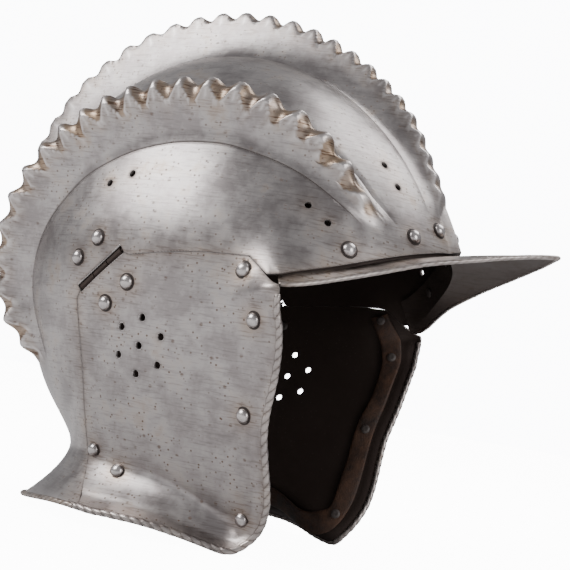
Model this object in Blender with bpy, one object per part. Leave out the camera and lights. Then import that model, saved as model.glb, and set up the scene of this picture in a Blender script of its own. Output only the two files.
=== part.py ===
"""Burgonet: a triple-combed open helmet of steel with a pointed peak and two hinged cheekpieces.

Every shape is worked out in the upright frame: metres, +Z up, the wearer looks along -Y, and
the origin lies midway between the centres of the two ear rosettes. One parent empty then tips
the helmet back until it stands on the cheekpieces' tips and the nape flange.
"""
import math

import bmesh
import bpy
from mathutils import Matrix, Vector
from mathutils.bvhtree import BVHTree

# Plates and clearances
PLATE = 0.0016           # wall of the raised steel
RIM_SWELL = 0.0009       # extra thickness on each face of a turned rim
RIM_WIDTH = 0.0035       # width of a turned rim
GAP = 0.0003             # clearance between pieces that touch
FLATS = 0.0004           # room for the flats of a faceted plate under what lies against it
SEAM_GAP = 0.0010        # open seam between skull and cheekpiece

# Skull bowl
SKULL_RADIUS = 0.130     # from the ear axis to the bowl's middle line
HALF_WIDTH = 0.0965      # widest half breadth
EAR_Y = -0.010
EAR_Z = 0.030
CHEEK_REACH = 0.100      # depth of the cheekpieces below the rosette
FORWARD_SPREAD = 0.06    # widening of the bowl towards the face
BOXY = 2.3               # exponent of the bowl's cross section
TEMPLE_FLARE = 0.014     # the bowl opens at the temples
TEMPLE_SPAN = 0.022

# Combs
COMB_HEIGHT = 0.040
COMB_HALF_BASE = 0.0165
SIDE_COMB_HEIGHT = 0.0210
SIDE_COMB_HALF_BASE = 0.0150
SIDE_COMB_ARC = 0.78     # radius that a side comb's teeth are spaced on, share of SKULL_RADIUS
SIDE_COMB_LEAN = 0.38    # how far a side comb leans from square to the bowl towards upright
COMB_WALL = 0.0019       # wall of a comb's flank, square to the middle plane
TOOTH_PITCH = 0.0150     # along the crest
TOOTH_DEPTH = 0.0050
KEEL_HEIGHT = 0.0032     # medial keel in front of the middle comb
KEEL_HALF_WIDTH = 0.0070

# Cheekpieces and nape
FRONT_FLARE = 0.0050
FRONT_FLARE_SPAN = 0.013
NAPE_FLARE = 0.033
WAIST_DEPTH = 0.028      # height of the flared skirt at the nape

# Peak
PEAK_LENGTH = 0.0525     # from the brow to the point
PEAK_FLANGE = 0.0150     # upturned band inside the bowl
PEAK_DROOP = 0.0060      # fall from brow to point

# Rivets, hinges, holes and straps
RIVET_HEAD = 0.0072
RIVET_SHANK = 0.0030
RIVET_TAIL = 0.0052
RIVET_TAIL_THICK = 0.0010
LACE_HOLE = 0.0036
EAR_HOLE = 0.0038
PROBE = 0.012            # reach of the search for a plate's flats
PEG_LENGTH = 0.020       # cutters for holes, long enough for all the layers
ROSETTE_RADIUS = 0.0138
HINGE_LENGTH = 0.0330
HINGE_BARREL = 0.0034
HINGE_LEAF = 0.0012
HINGE_LEAF_REACH = 0.0150
KNUCKLES = 3
PIN_RADIUS = 0.0008
PIN_PLAY = 0.00015
STRAP_WIDTH = 0.0110
STRAP_THICK = 0.0018
STRAP_EASE = 0.0008      # the strap spans the creases of the plate

# Middle line of the bowl: angle about the ear axis (0 is back, 90 up), share of SKULL_RADIUS
PROFILE = [
    (-75, 1.80), (-52, 1.18), (-45, 1.035), (-37, .937), (-20, .935), (0, .955), (18, .99), (45, 1.07),
    (70, 1.108), (92, 1.088), (115, 1.03), (130, .995), (142, .978), (156, .968), (170, .976),
    (185, 1.02), (205, 1.30), (235, 1.80), (285, 1.80),
]
# Half breadth: height as a share of CHEEK_REACH, share of HALF_WIDTH
WIDTH = [(-1.1, .50), (-1.0, .57), (-.7, .705), (-.4, .80), (0, .905), (.45, .985), (.7, 1.0), (3, 1.0)]
# How pointed the section is: angle, exponent
PINCH = [(-75, 2.0), (110, 2.0), (150, 1.7), (175, 1.55), (200, 1.7), (240, 2.0), (285, 2.0)]
# Foot line of a side comb, on its lower side: angle, share of the way to the middle line
SIDE_COMB_FOOT = [
    (-30, .76), (-12, .735), (5, .752), (16, .723), (26, .672), (39, .595), (50, .555), (65, .509),
    (79, .495), (92, .502), (106, .532), (118, .574), (130, .62), (146, .699), (156, .748), (168, .808),
    (190, .85),
]
# Comb height along its length: angle, share of the full height
COMB_RISE = [
    (-20, 0), (-8, .30), (5, .60), (20, .83), (35, .96), (51, 1.0), (62, .955), (75, .865), (87, .79),
    (100, .685), (111, .59), (124, .49), (136, .385), (147, .22), (157, .12), (163, 0),
]
SIDE_COMB_RISE = [
    (-20, 0), (-12, .40), (0, .80), (20, 1.0), (60, 1.0), (110, 1.0), (135, .85), (150, .50), (158, .25),
    (166, 0),
]
# Section of a comb: share of its half base, share of its height
COMB_SECTION = [(0, 1.0), (.20, .94), (.31, .72), (.46, .42), (.72, .12), (1.0, 0), (9, 0)]
# Skirt below the waist: y and lowest z, both as shares of CHEEK_REACH, then flare share of NAPE_FLARE
LOWER_EDGE = [
    (-.48, -.985), (-.39, -.992), (-.30, -.965), (-.15, -.900), (0, -.850), (.20, -.805), (.36, -.762),
    (.50, -.735), (.85, -.703), (1.5, -.700),
]
SKIRT_FLARE = [
    (-.60, 0), (-.48, .16), (-.30, .50), (-.10, .74), (.10, .86), (.36, .90), (.60, .86), (1.5, .84),
]
SKIRT_DEPTH = [(-.60, .5), (-.30, .62), (0, .80), (.45, .95), (.85, 1.0), (1.5, 1.0)]
# Front edge of a cheekpiece in side view: y and z as shares of CHEEK_REACH
FRONT_EDGE = [
    (-.79, .45), (-.81, .225), (-.80, .10), (-.79, .0), (-.735, -.20), (-.665, -.40), (-.64, -.55),
    (-.625, -.68), (-.60, -.79), (-.545, -.89), (-.47, -.96), (-.40, -.992),
]
# Seams between skull and cheekpiece in side view, from the temple to the skirt: shares of CHEEK_REACH
SEAM = [
    (-1.10, .10), (-.84, .205), (-.79, .232), (-.735, .285), (-.636, .383), (-.48, .41), (-.335, .426),
    (-.15, .438),
    (.02, .443), (.06, .462), (.36, .300), (.387, .266), (.403, .062), (.446, -.207), (.462, -.437),
    (.450, -.512), (.436, -.574), (.408, -.656), (.368, -.746), (.30, -.90),
]
# Brow line in side view, from the middle plane to the temple: shares of CHEEK_REACH
BROW = [(-1.60, .535), (-1.387, .502), (-1.278, .451), (-1.118, .386), (-.966, .329), (-.80, .285), (-.76, .272)]

# Peak, from its point to the temple: half breadth of the brow and of the free edge as shares of
# HALF_WIDTH, then the edge's reach as a share of PEAK_LENGTH and its fall as one of PEAK_DROOP
PEAK_PLAN = [
    (0, 0, 1.0, .85), (.12, .150, .80, .88), (.28, .318, .50, .90), (.415, .465, .25, .90),
    (.60, .603, .08, .95), (.75, .750, .025, 1.0), (.85, .850, .015, 1.05), (.93, .930, .012, 1.1),
]
# Hinge axis in side view, front end then back end: shares of CHEEK_REACH
HINGE_ENDS = [(.048, .484), (.375, .306)]
# Brow rivets from the front: x as a share of HALF_WIDTH, z as a share of CHEEK_REACH
BROW_RIVETS = [(.685, .425), (.340, .533), (.125, .60)]
# Other rivets in side view: y and z as shares of CHEEK_REACH
SKULL_HINGE_RIVETS = [(.219, .553), (.362, .471)]
CHEEK_HINGE_RIVETS = [(.039, .311), (.188, .222)]
STRAP_RIVETS = [(-.609, .319), (-.664, .076), (-.544, -.354), (-.435, -.84), (.23, -.600), (.405, -.49)]
# Middle line of a lining strap in side view
STRAP_LINE = [
    (-.60, .345), (-.664, .076), (-.625, -.15), (-.544, -.354), (-.50, -.60), (-.435, -.84), (-.27, -.86),
    (-.06, -.74), (.23, -.60), (.405, -.49),
]
# Lacing holes on each side: in side view, and from the front between the combs
SIDE_LACE_HOLES = [(.035, .865), (.177, .836), (-.863, .642), (-.947, .555)]
FRONT_LACE_HOLES = [(.355, .914), (.336, .797)]

COMB_STEPS = 3           # mesh steps for one tooth
COMB_COLUMNS = [(.15, 1), (.42, 0), (.70, 0), (1.0, 0)]    # share of the half base, toothed or not
HOLLOW_COLUMNS = [(0, 0), (.35, 0), (.65, 0), (1.0, 0)]    # the same inside the comb
ROW_STEP = 9.0           # degrees between the bowl's plain rows
FIRST_ROW = 196.0        # the bowl's mesh starts below the brow
LAST_ROW = -20.0         # and turns into the nape here
NAPE_ROWS = 5
EAR_LATERAL = 87.0       # the bowl's mesh ends this far round, inside the cheekpiece's seam
NAPE_LATERAL = 40.0      # beyond this the nape's lines draw together
NAPE_DRAW = 0.30
EDGE_POINTS = 25         # along the free edge of a cheekpiece
FAN_CENTRE = (.50, .62)  # a cheekpiece's mesh fans out from here, shares of CHEEK_REACH
RIM_RINGS = [0, .5, 1.0] # rings within the turned rim, shares of RIM_WIDTH
NEAR_RINGS = [.011, .024]
FAR_RINGS = [.3, .62, .97]
BROW_STEPS = 16          # of the cut along the brow
LEAF_STEPS = 4           # of a hinge leaf's curved plate, each way
PEAK_ROWS = 11           # from the point of the peak to one temple
STRAP_ROWS = 20
HOLE_SIDES = 7
BORE_SIDES = 6
RIVET_SIDES = 7
BARREL_SIDES = 8

STEEL = (0.56, 0.55, 0.545, 1.0)
STEEL_DARK = (0.35, 0.34, 0.335, 1.0)
LEATHER = (0.16, 0.07, 0.035, 1.0)


def clear_scene():
    for obj in list(bpy.data.objects):
        bpy.data.objects.remove(obj, do_unlink=True)


def make_material(name, colour, metallic, roughness):
    material = bpy.data.materials.new(name)
    material.use_nodes = True
    shader = material.node_tree.nodes["Principled BSDF"]
    shader.inputs["Base Color"].default_value = colour
    shader.inputs["Metallic"].default_value = metallic
    shader.inputs["Roughness"].default_value = roughness
    return material


def smooth(table, x):
    """Cubic curve through a table's rows, level beyond its ends."""
    if x <= table[0][0]:
        return table[0][1]
    if x >= table[-1][0]:
        return table[-1][1]
    row = next(i for i in range(len(table) - 1) if x <= table[i + 1][0])

    def slope(i):
        low = max(i - 1, 0)
        high = min(i + 1, len(table) - 1)
        return (table[high][1] - table[low][1]) / (table[high][0] - table[low][0])

    (x0, y0), (x1, y1) = table[row], table[row + 1]
    span = x1 - x0
    t = (x - x0) / span
    m0 = slope(row) * span
    m1 = slope(row + 1) * span
    return (
        (2 * t**3 - 3 * t**2 + 1) * y0 + (t**3 - 2 * t**2 + t) * m0
        + (3 * t**2 - 2 * t**3) * y1 + (t**3 - t**2) * m1
    )


def curve_through(points, count):
    """Evenly numbered points on a Catmull-Rom curve through a list of side-view points."""
    out = []
    last = len(points) - 1
    for k in range(count):
        s = k * last / (count - 1)
        i = min(int(s), last - 1)
        t = s - i
        p0, p1, p2, p3 = (points[max(0, min(last, i + j))] for j in (-1, 0, 1, 2))
        out.append(tuple(
            0.5 * (2 * b + (c - a) * t + (2 * a - 5 * b + 4 * c - d) * t**2 + (3 * b - a - 3 * c + d) * t**3)
            for a, b, c, d in zip(p0, p1, p2, p3)
        ))
    return out


def side_angle(y, z):
    angle = math.degrees(math.atan2(z - EAR_Z, y - EAR_Y))
    return angle + 360 if angle < -75 else angle


def middle_radius(angle):
    return SKULL_RADIUS * smooth(PROFILE, angle)


def half_breadth(y, z):
    """Half breadth of the plain bowl and cheeks over a side-view point."""
    angle = side_angle(y, z)
    share = min(1.0, math.hypot(y - EAR_Y, z - EAR_Z) / middle_radius(angle))
    wide = HALF_WIDTH * smooth(WIDTH, z / CHEEK_REACH) - FORWARD_SPREAD * (y - EAR_Y)
    temple = math.exp(-((y + .83 * CHEEK_REACH) / TEMPLE_SPAN)**2 - ((z - .22 * CHEEK_REACH) / TEMPLE_SPAN)**2)
    return wide * (1 - share**BOXY)**(1 / smooth(PINCH, angle)) + TEMPLE_FLARE * temple * (1 - share**6)


def bowl_point(angle, lateral):
    """Point of the plain bowl: angle about the ear axis, lateral angle from the middle plane (radians)."""
    share = math.cos(lateral)**(2 / BOXY)
    radius = middle_radius(angle) * share
    y = EAR_Y + radius * math.cos(math.radians(angle))
    z = EAR_Z + radius * math.sin(math.radians(angle))
    return Vector((math.copysign(half_breadth(y, z), lateral) if abs(lateral) > 1e-9 else 0.0, y, z))


def bowl_normal(angle, lateral):
    step = 0.03
    across = bowl_point(angle, lateral + step) - bowl_point(angle, lateral - step)
    along = bowl_point(angle + 1, lateral) - bowl_point(angle - 1, lateral)
    normal = along.cross(across).normalized()
    outward = bowl_point(angle, lateral) - Vector((0, EAR_Y, EAR_Z))
    return normal if normal.dot(outward) > 0 else -normal


def cheek_normal(y, z, side):
    step = 0.002
    slope_y = (half_breadth(y + step, z) - half_breadth(y - step, z)) / (2 * step)
    slope_z = (half_breadth(y, z + step) - half_breadth(y, z - step)) / (2 * step)
    return Vector((side, -slope_y, -slope_z)).normalized()


def lower_edge(y):
    return CHEEK_REACH * smooth(LOWER_EDGE, y / CHEEK_REACH)


def front_edge(z):
    rows = sorted((row[1], row[0]) for row in FRONT_EDGE)
    return CHEEK_REACH * smooth(rows, z / CHEEK_REACH)


def skirt(y, z):
    """Outward push of the flared skirt at a point of the plain surface."""
    bottom = lower_edge(y)
    depth = WAIST_DEPTH * smooth(SKIRT_DEPTH, y / CHEEK_REACH)
    reach = (bottom + depth - z) / depth
    return NAPE_FLARE * smooth(SKIRT_FLARE, y / CHEEK_REACH) * max(0.0, reach)**1.6


def front_roll(y, z):
    """Outward push along the face edge of a cheekpiece."""
    inset = max(0.0, y - front_edge(z))
    fade = max(0.0, min(1.0, (.32 * CHEEK_REACH - z) / (.1 * CHEEK_REACH)))
    return FRONT_FLARE * fade * math.exp(-(inset / FRONT_FLARE_SPAN)**2)


def level(normal):
    return Vector((normal.x, normal.y, 0)).normalized()


def skinned(point, normal):
    """Plain point pushed out by the skirt."""
    return point + level(normal) * skirt(point.y, point.z)


def comb_height(offset, rise, height, half_base):
    return height * rise * smooth(COMB_SECTION, abs(offset) / half_base)


def arc_table(angle):
    """Lateral angle against distance from the middle line, along one section of the bowl."""
    table = [(0.0, 0.0)]
    last = bowl_point(angle, 0.0)
    length = 0.0
    for k in range(1, 61):
        lateral = math.radians(EAR_LATERAL * k / 60)
        point = bowl_point(angle, lateral)
        length += (point - last).length
        table.append((length, lateral))
        last = point
    return table


def along_arc(table, length):
    sign = -1 if length < 0 else 1
    length = abs(length)
    for (s0, a0), (s1, a1) in zip(table, table[1:]):
        if length <= s1:
            return sign * (a0 + (a1 - a0) * (length - s0) / (s1 - s0))
    return sign * table[-1][1]


def arc_length(table, lateral):
    for (s0, a0), (s1, a1) in zip(table, table[1:]):
        if lateral <= a1:
            return s0 + (s1 - s0) * (lateral - a0) / (a1 - a0)
    return table[-1][0]


class Section:
    """One cross section of the skull at an angle about the ear axis."""

    def __init__(self, angle):
        self.angle = angle
        self.table = arc_table(angle)
        foot = smooth(SIDE_COMB_FOOT, angle)
        rise = max(0.25, smooth(SIDE_COMB_RISE, angle))
        self.side_base = SIDE_COMB_HALF_BASE * (0.55 + 0.45 * rise)
        self.side_centre = arc_length(self.table, math.acos(foot**(BOXY / 2))) - self.side_base

    def lift(self, arc, normal, tooth=0.0, hollow=0.0):
        """Way from the plain bowl to the combed one, at a distance from the middle line."""
        middle = smooth(COMB_RISE, self.angle)
        side = smooth(SIDE_COMB_RISE, self.angle)
        offset = abs(abs(arc) - self.side_centre)
        heights = [
            comb_height(abs(arc) + hollow, middle, COMB_HEIGHT, COMB_HALF_BASE),
            comb_height(offset + hollow, side, SIDE_COMB_HEIGHT, self.side_base),
        ]
        caps = [COMB_HEIGHT * middle, SIDE_COMB_HEIGHT * side]
        if hollow:
            heights = [min(h, max(0.0, cap - TOOTH_DEPTH)) for h, cap in zip(heights, caps)]
        keel = KEEL_HEIGHT * max(0.0, 1 - abs(arc) / KEEL_HALF_WIDTH)
        keel *= max(0.0, min(1.0, (self.angle - 138) / 14))
        radial = Vector((0, math.cos(math.radians(self.angle)), math.sin(math.radians(self.angle))))
        lean = (normal * (1 - SIDE_COMB_LEAN) + radial * SIDE_COMB_LEAN).normalized()
        if heights[1] > heights[0]:
            return lean * (heights[1] - tooth)
        return normal * (max(heights[0], 0 if hollow else keel) - tooth)

    def outer(self, arc, tooth=0.0):
        lateral = along_arc(self.table, arc)
        normal = bowl_normal(self.angle, lateral)
        point = bowl_point(self.angle, lateral)
        return skinned(point, normal) + self.lift(arc, normal, tooth)

    def inner(self, arc):
        lateral = along_arc(self.table, arc)
        normal = bowl_normal(self.angle, lateral)
        point = bowl_point(self.angle, lateral)
        return skinned(point, normal) + self.lift(arc, normal, hollow=COMB_WALL) - normal * PLATE


def tooth_drop(phase):
    """Depth of a scallop: 0 on a tooth's point, full halfway between two."""
    return TOOTH_DEPTH * abs(math.sin(math.pi * phase))**0.8


class MeshBuilder:
    """Collects points once each and faces between them."""

    def __init__(self):
        self.mesh = bmesh.new()

    def point(self, place):
        return self.mesh.verts.new(place)

    def face(self, *corners):
        unique = []
        for corner in corners:
            if corner not in unique:
                unique.append(corner)
        if len(unique) > 2:
            self.mesh.faces.new(unique)

    def zip_lines(self, left, right):
        """Fill between two lines of (station, point) that run side by side."""
        i = j = 0
        while i < len(left) - 1 or j < len(right) - 1:
            step_left = left[i + 1][0] if i < len(left) - 1 else math.inf
            step_right = right[j + 1][0] if j < len(right) - 1 else math.inf
            if abs(step_left - step_right) < 1e-6:
                self.face(left[i][1], right[j][1], right[j + 1][1], left[i + 1][1])
                i += 1
                j += 1
            elif step_left < step_right:
                self.face(left[i][1], right[j][1], left[i + 1][1])
                i += 1
            else:
                self.face(left[i][1], right[j][1], right[j + 1][1])
                j += 1

    def finish(self, name, material, smooth_angle=35):
        bmesh.ops.triangulate(self.mesh, faces=[f for f in self.mesh.faces if len(f.verts) > 3])
        bmesh.ops.recalc_face_normals(self.mesh, faces=self.mesh.faces)
        if self.mesh.calc_volume(signed=True) < 0:
            bmesh.ops.reverse_faces(self.mesh, faces=self.mesh.faces)
        data = bpy.data.meshes.new(name)
        self.mesh.to_mesh(data)
        self.mesh.free()
        data.materials.append(material)
        data.shade_smooth()
        data.set_sharp_from_angle(angle=math.radians(smooth_angle))
        obj = bpy.data.objects.new(name, data)
        bpy.context.collection.objects.link(obj)
        return obj


def skin_point(angle, lateral):
    """Bowl with its skirt, without combs."""
    return skinned(bowl_point(angle, lateral), bowl_normal(angle, lateral))


def skin_normal(angle, lateral):
    step = 0.02
    across = skin_point(angle, lateral + step) - skin_point(angle, lateral - step)
    along = skin_point(angle + 0.7, lateral) - skin_point(angle - 0.7, lateral)
    normal = along.cross(across).normalized()
    return normal if normal.dot(bowl_normal(angle, lateral)) > 0 else -normal


def nape_end(lateral):
    """Angle at which the skirt's edge is reached along a line of constant lateral angle."""
    low, high = -74.0, LAST_ROW
    for _ in range(30):
        middle = (low + high) / 2
        point = bowl_point(middle, lateral)
        if point.z < lower_edge(point.y):
            low = middle
        else:
            high = middle
    return (low + high) / 2


class Column:
    """One line of the skull's mesh, from the brow over the crown to the nape."""

    def __init__(self, part, share, side=1, toothed=0):
        self.part = part
        self.share = share
        self.side = side
        self.toothed = toothed

    def arc(self, section):
        if self.part == "middle":
            return self.share * COMB_HALF_BASE
        start = section.side_centre - section.side_base
        if self.part == "between":
            return self.side * (COMB_HALF_BASE + self.share * (start - COMB_HALF_BASE))
        if self.part == "side":
            return self.side * (section.side_centre + self.share * section.side_base)
        foot = section.side_centre + section.side_base
        return self.side * (foot + self.share * (arc_length(section.table, math.radians(EAR_LATERAL)) - foot))

    def rise(self):
        return COMB_RISE if self.part == "middle" else SIDE_COMB_RISE

    def pitch(self):
        """Angle of one tooth, in degrees."""
        radius = SKULL_RADIUS + COMB_HEIGHT if self.part == "middle" else SKULL_RADIUS * SIDE_COMB_ARC
        return math.degrees(TOOTH_PITCH / radius)

    def stations(self):
        count = round((FIRST_ROW - LAST_ROW) / ROW_STEP)
        rows = [FIRST_ROW + (LAST_ROW - FIRST_ROW) * k / count for k in range(count + 1)]
        if not self.toothed:
            return rows
        front = self.rise()[-1][0]
        step = self.pitch() / COMB_STEPS
        fine = [LAST_ROW + step * k for k in range(int((front - LAST_ROW) / step) + 1)]
        return [row for row in rows if row > front + step] + fine[::-1]

    def drop(self, angle):
        if not self.toothed:
            return 0.0
        rise = smooth(self.rise(), angle)
        return tooth_drop((angle - LAST_ROW) / self.pitch()) * min(1.0, 1.6 * max(0.0, rise))

    def line(self, builder, sections, inner=False):
        """The column's points as (station, vertex)."""
        out = []
        for angle in self.stations():
            section = sections(angle)
            arc = self.arc(section)
            place = section.inner(arc) if inner else section.outer(arc, self.drop(angle))
            out.append((-angle, builder.point(place)))
        section = sections(LAST_ROW)
        start = along_arc(section.table, self.arc(section))
        limit = math.radians(NAPE_LATERAL)
        drawn = math.copysign(min(abs(start), limit) + NAPE_DRAW * max(0.0, abs(start) - limit), start)
        end = nape_end(abs(drawn))
        for k in range(1, NAPE_ROWS + 1):
            share = k / NAPE_ROWS
            lateral = start + (drawn - start) * share
            angle = LAST_ROW + (end - LAST_ROW) * share**0.9
            normal = skin_normal(angle, lateral)
            rim = RIM_SWELL if k >= NAPE_ROWS - 1 else 0.0
            offset = -PLATE - rim if inner else rim
            if k == NAPE_ROWS:
                offset = -PLATE - rim / 3 if inner else rim / 3
            out.append((-LAST_ROW + k, builder.point(skin_point(angle, lateral) + normal * offset)))
        return out


def skull_columns(inner):
    comb = HOLLOW_COLUMNS if inner else COMB_COLUMNS
    outside = (.33, .67, 1.0) if inner else (.25, .50, .75, 1.0)
    right = [Column("middle", share, 1, toothed) for share, toothed in comb]
    right += [Column("between", share) for share in ((.5,) if inner else (.35, .70))]
    right += [Column("side", -share, 1, toothed) for share, toothed in reversed(comb)]
    right += [Column("side", share, 1, toothed) for share, toothed in comb[1:]]
    right += [Column("outside", share) for share in outside]
    left = [
        Column(c.part, -c.share if c.part == "middle" else c.share, -1, c.toothed)
        for c in reversed(right) if c.part != "middle" or c.share
    ]
    return left + right


def make_skull(material):
    cache = {}

    def sections(angle):
        key = round(angle, 6)
        if key not in cache:
            cache[key] = Section(angle)
        return cache[key]

    builder = MeshBuilder()
    skins = []
    for inner in (False, True):
        lines = [column.line(builder, sections, inner) for column in skull_columns(inner)]
        for left, right in zip(lines, lines[1:]):
            builder.zip_lines(left, right)
        skins.append(lines)
    outer, inner = skins
    builder.zip_lines(outer[0], inner[0])
    builder.zip_lines(outer[-1], inner[-1])
    for end in (0, -1):
        builder.zip_lines(
            [(line[end][1].co.x, line[end][1]) for line in outer],
            [(line[end][1].co.x, line[end][1]) for line in inner],
        )
    return builder.finish("skull", material)


def offset_outline(points, distance):
    """Side-view outline moved sideways, to its left for a positive distance."""
    out = []
    for i, point in enumerate(points):
        before = points[max(i - 1, 0)]
        after = points[min(i + 1, len(points) - 1)]
        run = Vector((after[0] - before[0], after[1] - before[1])).normalized()
        out.append((point[0] - run.y * distance, point[1] + run.x * distance))
    return out


def scaled(table, unit=CHEEK_REACH):
    return [(y * unit, z * unit) for y, z in table]


def make_prism(name, outline, x_low, x_high):
    """Cutter: a side-view outline pushed through along X."""
    mesh = bmesh.new()
    low = [mesh.verts.new((x_low, y, z)) for y, z in outline]
    high = [mesh.verts.new((x_high, y, z)) for y, z in outline]
    mesh.faces.new(low)
    mesh.faces.new(list(reversed(high)))
    for i in range(len(outline)):
        j = (i + 1) % len(outline)
        mesh.faces.new((low[i], low[j], high[j], high[i]))
    bmesh.ops.recalc_face_normals(mesh, faces=mesh.faces)
    return cutter_from(mesh, name)


def cutter_from(mesh, name):
    data = bpy.data.meshes.new(name)
    mesh.to_mesh(data)
    mesh.free()
    obj = bpy.data.objects.new(name, data)
    bpy.context.collection.objects.link(obj)
    obj.hide_render = True
    obj.display_type = "WIRE"
    return obj


def make_pegs(name, pegs):
    """Cutter: round pegs, each given by its middle, its direction, its radius and its number of sides."""
    mesh = bmesh.new()
    for place, direction, radius, sides in pegs:
        turn = Vector((0, 0, 1)).rotation_difference(direction).to_matrix().to_4x4()
        bmesh.ops.create_cone(
            mesh, cap_ends=True, segments=sides, radius1=radius, radius2=radius, depth=PEG_LENGTH,
            matrix=Matrix.Translation(place) @ turn,
        )
    return cutter_from(mesh, name)


def cut(obj, cutter, operation="DIFFERENCE"):
    cutter.parent = obj
    modifier = obj.modifiers.new(cutter.name, "BOOLEAN")
    modifier.operation = operation
    modifier.solver = "EXACT"
    modifier.object = cutter


def cheek_point(y, z, side):
    plain = Vector((side * half_breadth(y, z), y, z))
    return plain + level(cheek_normal(y, z, side)) * (skirt(y, z) + front_roll(y, z))


def cheek_skin_normal(y, z, side):
    step = 0.0015
    along = cheek_point(y + step, z, side) - cheek_point(y - step, z, side)
    up = cheek_point(y, z + step, side) - cheek_point(y, z - step, side)
    normal = along.cross(up).normalized()
    return normal if normal.x * side > 0 else -normal


def on_cheek(y, z, side, depth=0.0):
    return cheek_point(y, z, side) - cheek_skin_normal(y, z, side) * depth


def free_edge():
    """Free edge of a cheekpiece in side view, down the face and back along the skirt."""
    bottom = [row for row in LOWER_EDGE if FRONT_EDGE[-1][0] + .05 < row[0] <= FAN_CENTRE[0]]
    return scaled(curve_through(FRONT_EDGE + bottom, EDGE_POINTS))


def make_cheek(name, side, material):
    centre = Vector(FAN_CENTRE) * CHEEK_REACH
    swell = [.33, 1.0, 0.0] + [0.0] * (len(NEAR_RINGS) + len(FAR_RINGS))
    builder = MeshBuilder()
    outer_lines = []
    inner_lines = []
    for station, edge in enumerate(free_edge()):
        edge = Vector(edge)
        inward = centre - edge
        reach = inward.length
        insets = [share * RIM_WIDTH for share in RIM_RINGS] + NEAR_RINGS
        insets += [NEAR_RINGS[-1] + (reach - NEAR_RINGS[-1]) * share for share in FAR_RINGS]
        outer = []
        inner = []
        for inset, swollen in zip(insets, swell):
            y, z = edge + inward * (inset / reach)
            outer.append((inset, builder.point(on_cheek(y, z, side, -RIM_SWELL * swollen))))
            inner.append((inset, builder.point(on_cheek(y, z, side, PLATE + RIM_SWELL * swollen))))
        outer_lines.append(outer)
        inner_lines.append(inner)
    for lines in (outer_lines, inner_lines):
        for left, right in zip(lines, lines[1:]):
            for (a, b), (c, d) in zip(zip(left, left[1:]), zip(right, right[1:])):
                builder.face(a[1], c[1], d[1], b[1])
    for end in (0, -1):
        outer, inner = outer_lines[end], inner_lines[end]
        for (a, b), (c, d) in zip(zip(outer, outer[1:]), zip(inner, inner[1:])):
            builder.face(a[1], c[1], d[1], b[1])
    for end in (0, -1):
        for a, b, c, d in zip(outer_lines, outer_lines[1:], inner_lines, inner_lines[1:]):
            builder.face(a[end][1], b[end][1], d[end][1], c[end][1])
    return builder.finish(name, material)


class Skins:
    """Finds the flats of a plate, so that what lies on it or under it clears them."""

    def __init__(self, obj):
        places = [v.co for v in obj.data.vertices]
        self.tree = BVHTree.FromPolygons(places, [face.vertices for face in obj.data.polygons])

    def under(self, place, normal, depth=0.0):
        """Point under the plate, a depth below its inner face, with the clearance between pieces."""
        hit = self.tree.ray_cast(place - normal * PROBE, normal, 2 * PROBE)[0] or place
        below = max(PLATE, (place - hit).dot(normal))
        return place - normal * (below + GAP + FLATS + depth)

    def outer(self, place, normal):
        return self.tree.ray_cast(place + normal * PROBE, -normal, 2 * PROBE)[0] or place

    def seat(self, place, normal):
        """Where a rivet's head rests on the plate, and the rivet's axis."""
        across = normal.orthogonal().normalized()
        over = normal.cross(across)
        rim = []
        for k in range(6):
            turn = k * math.pi / 3
            away = (across * math.cos(turn) + over * math.sin(turn)) * RIVET_HEAD / 2
            rim.append(self.outer(place + away, normal))
        middle = sum(rim, Vector()) / len(rim)
        axis = sum(((a - middle).cross(b - middle) for a, b in zip(rim, rim[1:])), Vector()).normalized()
        if axis.dot(normal) < 0:
            axis = -axis
        lift = max((spot - middle).dot(axis) for spot in rim + [self.outer(place, normal)])
        return middle + axis * lift, axis


def front_place(x, z):
    """Side-view y of the bowl's front where its half breadth is x."""
    low, high = -1.6 * CHEEK_REACH, -.4 * CHEEK_REACH
    for _ in range(40):
        middle = (low + high) / 2
        if half_breadth(middle, z) > x:
            high = middle
        else:
            low = middle
    return (low + high) / 2


def on_bowl(y, z, side, depth=0.0):
    """Point and outward normal of the plain bowl over a side-view place."""
    angle = side_angle(y, z)
    share = min(1.0, math.hypot(y - EAR_Y, z - EAR_Z) / middle_radius(angle))
    lateral = side * math.acos(share**(BOXY / 2))
    normal = bowl_normal(angle, lateral)
    return bowl_point(angle, lateral) - normal * depth, normal


def brow_height(y):
    return CHEEK_REACH * smooth(BROW, y / CHEEK_REACH)


def brow_place(x):
    """Side-view y of the brow line where the bowl's half breadth is x."""
    low, high = -1.6 * CHEEK_REACH, -.6 * CHEEK_REACH
    for _ in range(40):
        middle = (low + high) / 2
        if half_breadth(middle, brow_height(middle)) > x:
            high = middle
        else:
            low = middle
    return (low + high) / 2


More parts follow.
